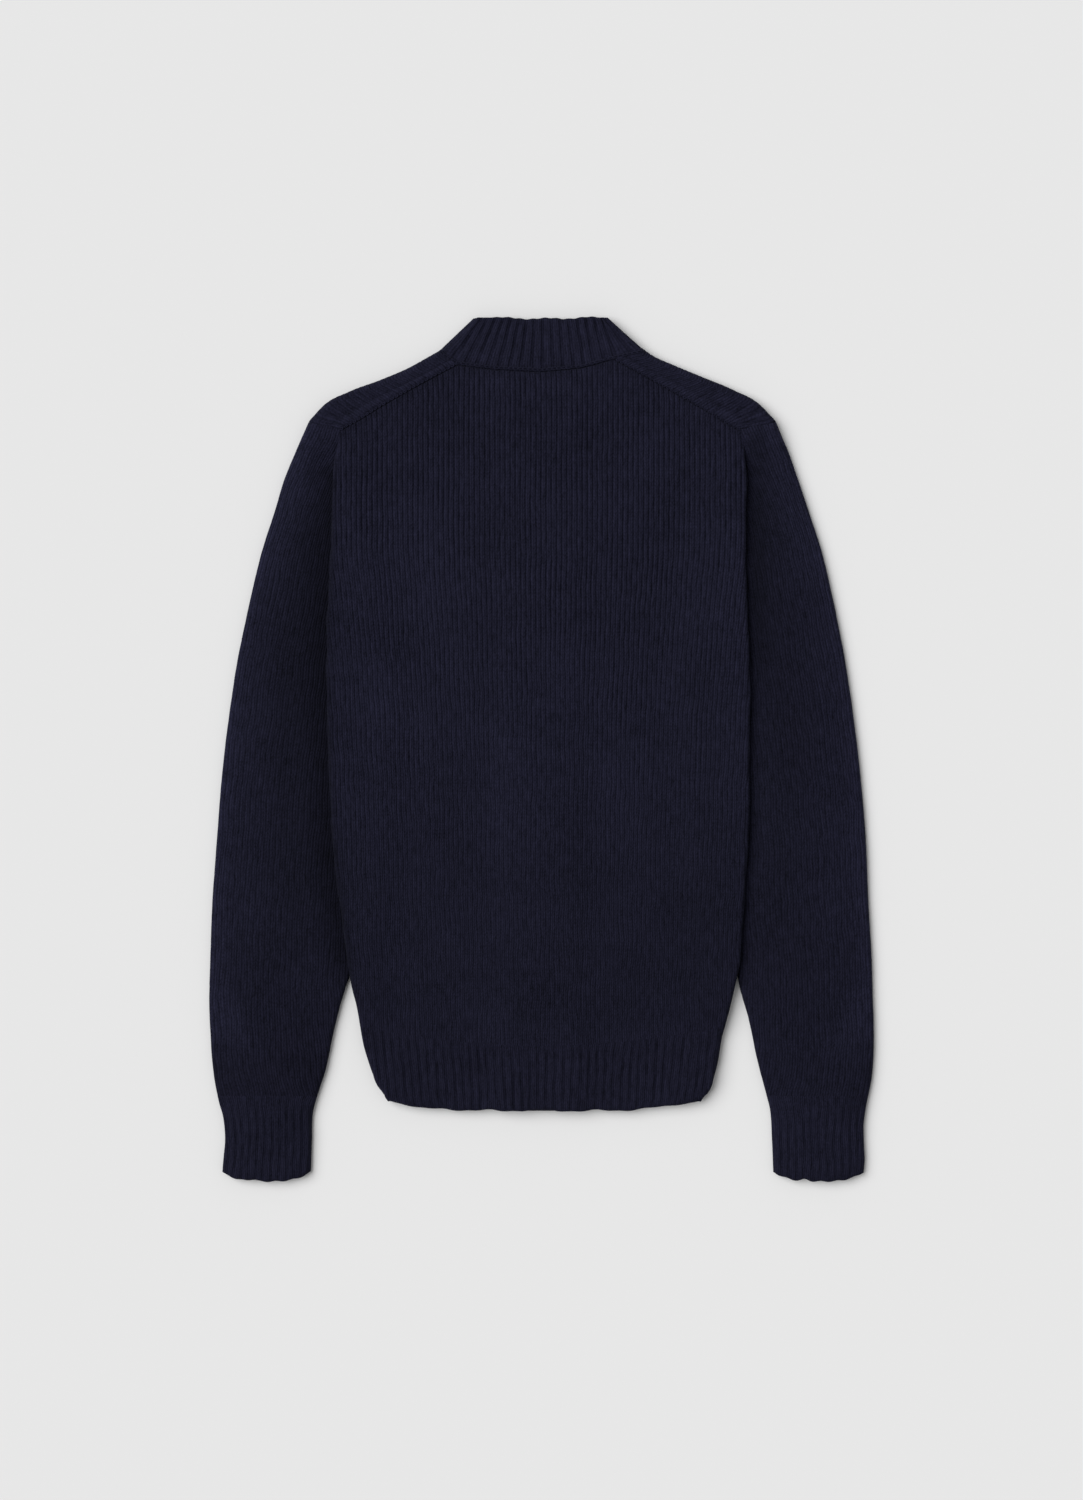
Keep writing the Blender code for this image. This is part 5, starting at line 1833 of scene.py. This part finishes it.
    def shade(self, points: Array) -> Array:
        """Painted shade on the sleeve: a deep painted shadow beside the body, fading across it,
        with painted highlights where it comes out below 0.
        """
        x, y = np.abs(points[:, :, 0]), points[:, :, 1]
        edge = LAY.half_width(self.side, y)
        away = np.maximum(x - edge, 0.0)
        width = LAY.outers[self.side](y) - np.maximum(edge, LAY.inners[self.side](y))
        share = np.clip(away / np.maximum(width, 1.0), 0.0, 1.0)
        held = SLEEVE_SHADES[self.side]
        shade = held.beside(away, y) + held.cap * self.cap(away, y)
        shade = shade + held.broad * self.broad(share, y) + held.wrist * self.wrist(share, y)
        shade = shade + (self.low_shade - self.low_easing * share) * self.low_down(y)
        shade = shade + self.arm_shade * self.below_cap(y)
        return shade + sum(highlight(share, y) for highlight in self.washes)

    def cuff(self) -> Sheet:
        """The cuff's grid, its free edge let down in a shallow curve with a dip."""
        share = np.linspace(0.0, 1.0, self.cuff_rings)
        y = LAY.cuff_top + (LAY.cuff_end - LAY.cuff_top) * share
        outer, inner = LAY.outers[self.side](y), LAY.inners[self.side](y)
        points = self.section((outer, y), (inner, y), np.zeros(len(y), bool))
        middle, half = 0.5 * (outer + inner)[:, None], 0.5 * (outer - inner)[:, None]
        off = (np.abs(points[:, :, 0]) - middle) / half
        held = np.minimum(np.abs(off), 1.0)
        bottom = self.cuff_centre + (self.cuff_side - self.cuff_centre) * held**3
        bottom = bottom + self.cuff_bump(off * self.side.value)
        bottom = bottom + self.cuff_wave(off, self.side.value)
        points[:, :, 1] += (bottom - LAY.cuff_end) * share[:, None] ** 3
        around = self.counted(points)
        wales = around / np.abs(around).max(axis=1, keepdims=True) * self.cuff_stitches
        return self.sheet(f"cuff_rib_{self.side.word}", points, wales)

    def build(self, room: Workroom) -> None:
        sleeve = self.sleeve()
        y = sleeve.points[:, :, 1]
        fade = self.relief - self.low_relief * self.low_fading(y)
        fade = fade - self.cap_relief * self.cap_fading(y)
        fade = fade * self.side.pick(1.0, self.right_relief)
        sleeve.relief = end_relief(sleeve.points, low=0.3, high=0.3, span=14.0) * fade
        # Painted shade and highlights held in the sleeve's colour
        sleeve.hollow = self.shade(sleeve.points)
        sleeve.sewn = (-1,)
        seed = 20.0 + self.side.value
        piece = room.knitted(sleeve, Knit.PLAIN, seed, Wander=0.8, Streak_Length=0.45)
        sleeve.cut()
        sleeve.area()
        cuff = self.cuff()
        cuff.relief = end_relief(cuff.points, low=0.15, high=0.8, span=22.0)
        # Painted shade over the whole cuff
        cuff.hollow = self.side.pick(self.cuff_shade_left, self.cuff_shade_right)
        cuff.sewn = (0,)
        piece = room.knitted(cuff, Knit.RIB, seed + 4.0, Depth=0.0009, Wander=1.4, Patchiness=1.4)
        cuff.cut()
        cuff.area()


@dataclass
class Bands:
    """The two centre-front bands, with the slits of the buttonholes in the outer one."""

    low: float = -317.0
    high: float = 301.0
    stitches: int = 8
    mesh_per_stitch: int = 5
    rows: int = 309
    wall: float = 2.8
    bulge: float = 0.05
    slit: float = 12.5
    top_button: float = 281.0
    spacing: float = 115.0
    count: int = 6
    whip_reach: float = 1.5
    whip_aside: float = -0.42
    whip_past: float = 0.8
    whip_level: float = 2.95
    whip_points: int = 33

    def band(self, name: str, level: float, is_slit: bool) -> Sheet:
        """One band's grid, its outer face down."""
        y = np.linspace(self.low, self.high, self.rows)[:, None]
        columns = self.stitches * self.mesh_per_stitch
        share = np.linspace(1.0, -1.0, columns + 1)
        x = share * LAY.band_half_width + 0.0 * y
        points = np.stack([x, y + 0.0 * x, level + 0.0 * x], axis=-1)
        wales = np.broadcast_to((1.0 - share) * 0.5 * self.stitches, x.shape)
        present = np.ones((len(y) - 1, columns), bool)
        if is_slit:
            centre = 0.5 * (y[1:, 0] + y[:-1, 0])
            index = np.clip(np.round((self.top_button - centre) / self.spacing), 0, self.count - 1)
            off = np.abs(centre - (self.top_button - index * self.spacing))
            present[off < self.slit, columns // 2] = False
        courses, relief = row_courses(points), np.ones(x.shape)
        return Sheet(name, points, wales, courses, self.wall, relief, present, self.bulge)

    def whipped(self, room: Workroom, number: int) -> bpy.types.Object:
        """The stitches round the edge of one buttonhole."""
        turns = np.linspace(0.0, 2.0 * np.pi, self.whip_points)
        x = self.whip_reach * np.cos(turns) + self.whip_aside
        y = self.top_button - self.spacing * number
        y = y + (self.slit + self.whip_past) * np.sin(turns)
        path = np.stack([x, y, self.whip_level + 0.0 * x], axis=-1)
        name = f"buttonhole_stitches_{number + 1}"
        values = {"Spacing": 0.0017, "Link_Length": 0.0017, "Link_Width": 0.0028}
        return room.linked(name, path, room.rib, Yarn_Radius=0.0003, Tilt=0.0, **values)

    def build(self, room: Workroom) -> None:
        """Makes both bands and the whipped edges of the buttonholes."""
        outer = self.band("buttonhole_band", LAY.outer_band, True)
        piece = room.knitted(outer, Knit.RIB, seed=30.0, Depth=0.0012, Wander=0.2)
        outer.cut()
        outer.area()
        [self.whipped(room, number) for number in range(self.count)]
        inner = self.band("button_band", LAY.inner_band, False)
        piece = room.knitted(inner, Knit.RIB, seed=31.0, Depth=0.0012, Wander=0.2)
        inner.cut()
        inner.area()


def joined(shape: bmesh.types.BMesh, rings: Sequence[list]) -> None:
    """Joins rings of vertices with faces and closes both ends."""
    for low, high in zip(rings, rings[1:]):
        for a in range(len(low)):
            b = (a + 1) % len(low)
            shape.faces.new((low[a], low[b], high[b], high[a]))
    shape.faces.new(rings[0][::-1])
    shape.faces.new(rings[-1])


def poured(shape: bmesh.types.BMesh, name: str) -> bpy.types.Object:
    """A new object in the scene made of a shape's faces."""
    mesh = bpy.data.meshes.new(name)
    shape.to_mesh(mesh)
    shape.free()
    return placed(name, mesh)


@dataclass
class Buttons:
    """Six turned four-hole buttons, face down under the bands, and the thread that holds them."""

    profile: tuple = (
        (5.2, 0.5),
        (6.6, 0.42),
        (7.7, 0.12),
        (8.6, 0.0),
        (9.8, 0.0),
        (10.6, 0.3),
        (11.0, 0.95),
        (11.0, 1.7),
        (10.6, 2.2),
        (9.8, 2.4),
    )
    sides: int = 48
    hole_radius: float = 1.1
    hole_spread: float = 2.6
    hole_sides: int = 16
    pin_length: float = 8.0
    thread_radius: float = 0.3
    thread_sides: int = 6
    strand_aside: float = 0.32
    strand_across: tuple = (0.3, -0.9, 0.1)
    thread_levels: tuple = (6.4, 1.1, 0.45)
    crossing_level: float = 0.2
    row: Bands = field(default_factory=Bands)

    def turned(self) -> bpy.types.Object:
        """One button turned from its profile, with its four holes cut."""
        shape = bmesh.new()
        rings = []
        for radius, z in self.profile:
            turns = np.linspace(0.0, 2.0 * np.pi, self.sides, endpoint=False)
            ring = [(radius * math.cos(t) * MM, radius * math.sin(t) * MM, z * MM) for t in turns]
            rings.append([shape.verts.new(point) for point in ring])
        joined(shape, rings)
        bmesh.ops.recalc_face_normals(shape, faces=shape.faces)
        button = poured(shape, "buttons")
        pins = self.pins()
        cut = button.modifiers.new("thread_holes", "BOOLEAN")
        cut.operation = "DIFFERENCE"
        cut.object = pins
        graph = bpy.context.evaluated_depsgraph_get()
        made = bpy.data.meshes.new_from_object(button.evaluated_get(graph), depsgraph=graph)
        button.modifiers.remove(cut)
        bpy.data.objects.remove(pins)
        button.data = made
        return button

    def pins(self) -> bpy.types.Object:
        """Four upright pins at the holes, to cut them with."""
        shape = bmesh.new()
        radius, spread = self.hole_radius * MM, 0.5 * self.hole_spread * MM
        size = {"radius1": radius, "radius2": radius, "depth": self.pin_length * MM}
        for across in (-spread, spread):
            for along in (-spread, spread):
                pin = bmesh.ops.create_cone(shape, cap_ends=True, segments=self.hole_sides, **size)
                bmesh.ops.translate(shape, verts=pin["verts"], vec=(across, along, 0.0))
        return poured(shape, "button_pins")

    def threads(self) -> bpy.types.Object:
        """Two crossed strands through the holes and up into the bands."""
        shape = bmesh.new()
        spread = 0.5 * self.hole_spread
        for way in (-1, 1):
            for strand in (-self.strand_aside, self.strand_aside):
                start, end = (-spread, -spread * way), (spread, spread * way)
                aside = np.array([-way, 1.0, 0.0]) / math.sqrt(2.0) * strand * way
                route = [(*start, level) for level in self.thread_levels]
                route += [(0.0, 0.0, self.crossing_level)]
                route += [(*end, level) for level in reversed(self.thread_levels)]
                self.strand(shape, np.array(route) + aside)
        bmesh.ops.recalc_face_normals(shape, faces=shape.faces)
        return poured(shape, "button_threads")

    def strand(self, shape: bmesh.types.BMesh, route: Array) -> None:
        """Adds one strand of thread along a route."""
        rings = []
        for point, way in zip(route, unit(np.gradient(route, axis=0))):
            first = unit(np.cross(way, self.strand_across))
            second = np.cross(way, first)
            ring = []
            for turn in np.linspace(0.0, 2.0 * np.pi, self.thread_sides, endpoint=False):
                aside = math.cos(turn) * first + math.sin(turn) * second
                ring.append(shape.verts.new((point + self.thread_radius * aside) * MM))
            rings.append(ring)
        joined(shape, rings)

    def build(self, room: Workroom) -> None:
        """Makes the row of buttons and their threads."""
        start = (0.0, self.row.top_button * MM, 0.0)
        values = {"Count": self.row.count, "Start": start, "Spacing": self.row.spacing * MM}
        buttons = self.turned()
        through(buttons, room.row, Material=room.materials[room.horn], **values)
        room.finish(buttons, room.horn, [f"button_{n + 1}" for n in range(self.row.count)])
        threads = self.threads()
        through(threads, room.row, Material=room.materials[room.rib], **values)
        room.finish(threads, room.rib)


@dataclass
class Studio:
    """The pale surface, the soft light and the camera above."""

    surface: float = 5.0
    drop: float = 0.0005
    sky: float = 0.34
    sun: float = 2.71
    sun_tilt: float = 40.0
    sun_turn: float = 20.0
    sun_spread: float = 55.0
    camera_height: float = 3.0
    lens: float = 81.7
    sensor: float = 36.0
    sight: float = 20.0

    def build(self) -> None:
        """Makes the surface, the lights and the camera."""
        self.lay_surface()
        self.light()
        self.look()
        bpy.context.scene.view_settings.view_transform = "Standard"

    def lay_surface(self) -> None:
        """Lays the pale surface just under the garment."""
        half = 0.5 * self.surface
        mesh = bpy.data.meshes.new("surface")
        corners = [(-half, -half), (half, -half), (half, half), (-half, half)]
        mesh.from_pydata([(x, y, -self.drop) for x, y in corners], [], [(0, 1, 2, 3)])
        mesh.materials.append(Plaster().build())
        placed("surface", mesh)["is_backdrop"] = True

    def light(self) -> None:
        """Sets the even sky and the broad light from a window."""
        world = bpy.data.worlds.new("soft_daylight")
        world.use_nodes = True
        sky = world.node_tree.nodes["Background"]
        sky.inputs["Color"].default_value = (1.0, 1.0, 1.0, 1.0)
        sky.inputs["Strength"].default_value = self.sky
        bpy.context.scene.world = world
        light = bpy.data.lights.new("window", "SUN")
        light.energy = self.sun
        light.angle = math.radians(self.sun_spread)
        tilt, turn = math.radians(self.sun_tilt), math.radians(self.sun_turn)
        placed("window", light).rotation_euler = (0.0, -tilt, -turn)

    def look(self) -> None:
        """Puts the camera straight above the garment."""
        camera = bpy.data.cameras.new("overhead")
        camera.sensor_fit = "VERTICAL"
        camera.sensor_width = camera.sensor_height = self.sensor
        camera.lens = self.lens
        camera.clip_end = self.sight
        eye = placed("overhead", camera)
        eye.location = (0.0, 0.0, self.camera_height)
        bpy.context.scene.camera = eye


def main() -> None:
    """Builds every sub-assembly in order."""
    logging.basicConfig(level=logging.INFO, format="%(name)s %(message)s", stream=sys.stdout)
    Studio().build()
    room = Workroom()
    Buttons().build(room)
    Bands().build(room)
    for side in Side:
        Front(side).build(room)
    Back().build(room)
    NeckBand().build(room)
    for side in Side:
        Sleeve(side).build(room)
    sizes = {"cad": plain(CAD_BOX), "visual": plain(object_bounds())}
    LOG.info("boxes: %s", sizes)


def plain(box: Any) -> list:
    """A box's corners as plain lists of numbers."""
    return [[float(value) for value in corner] for corner in box]


if __name__ == "__main__":
    main()
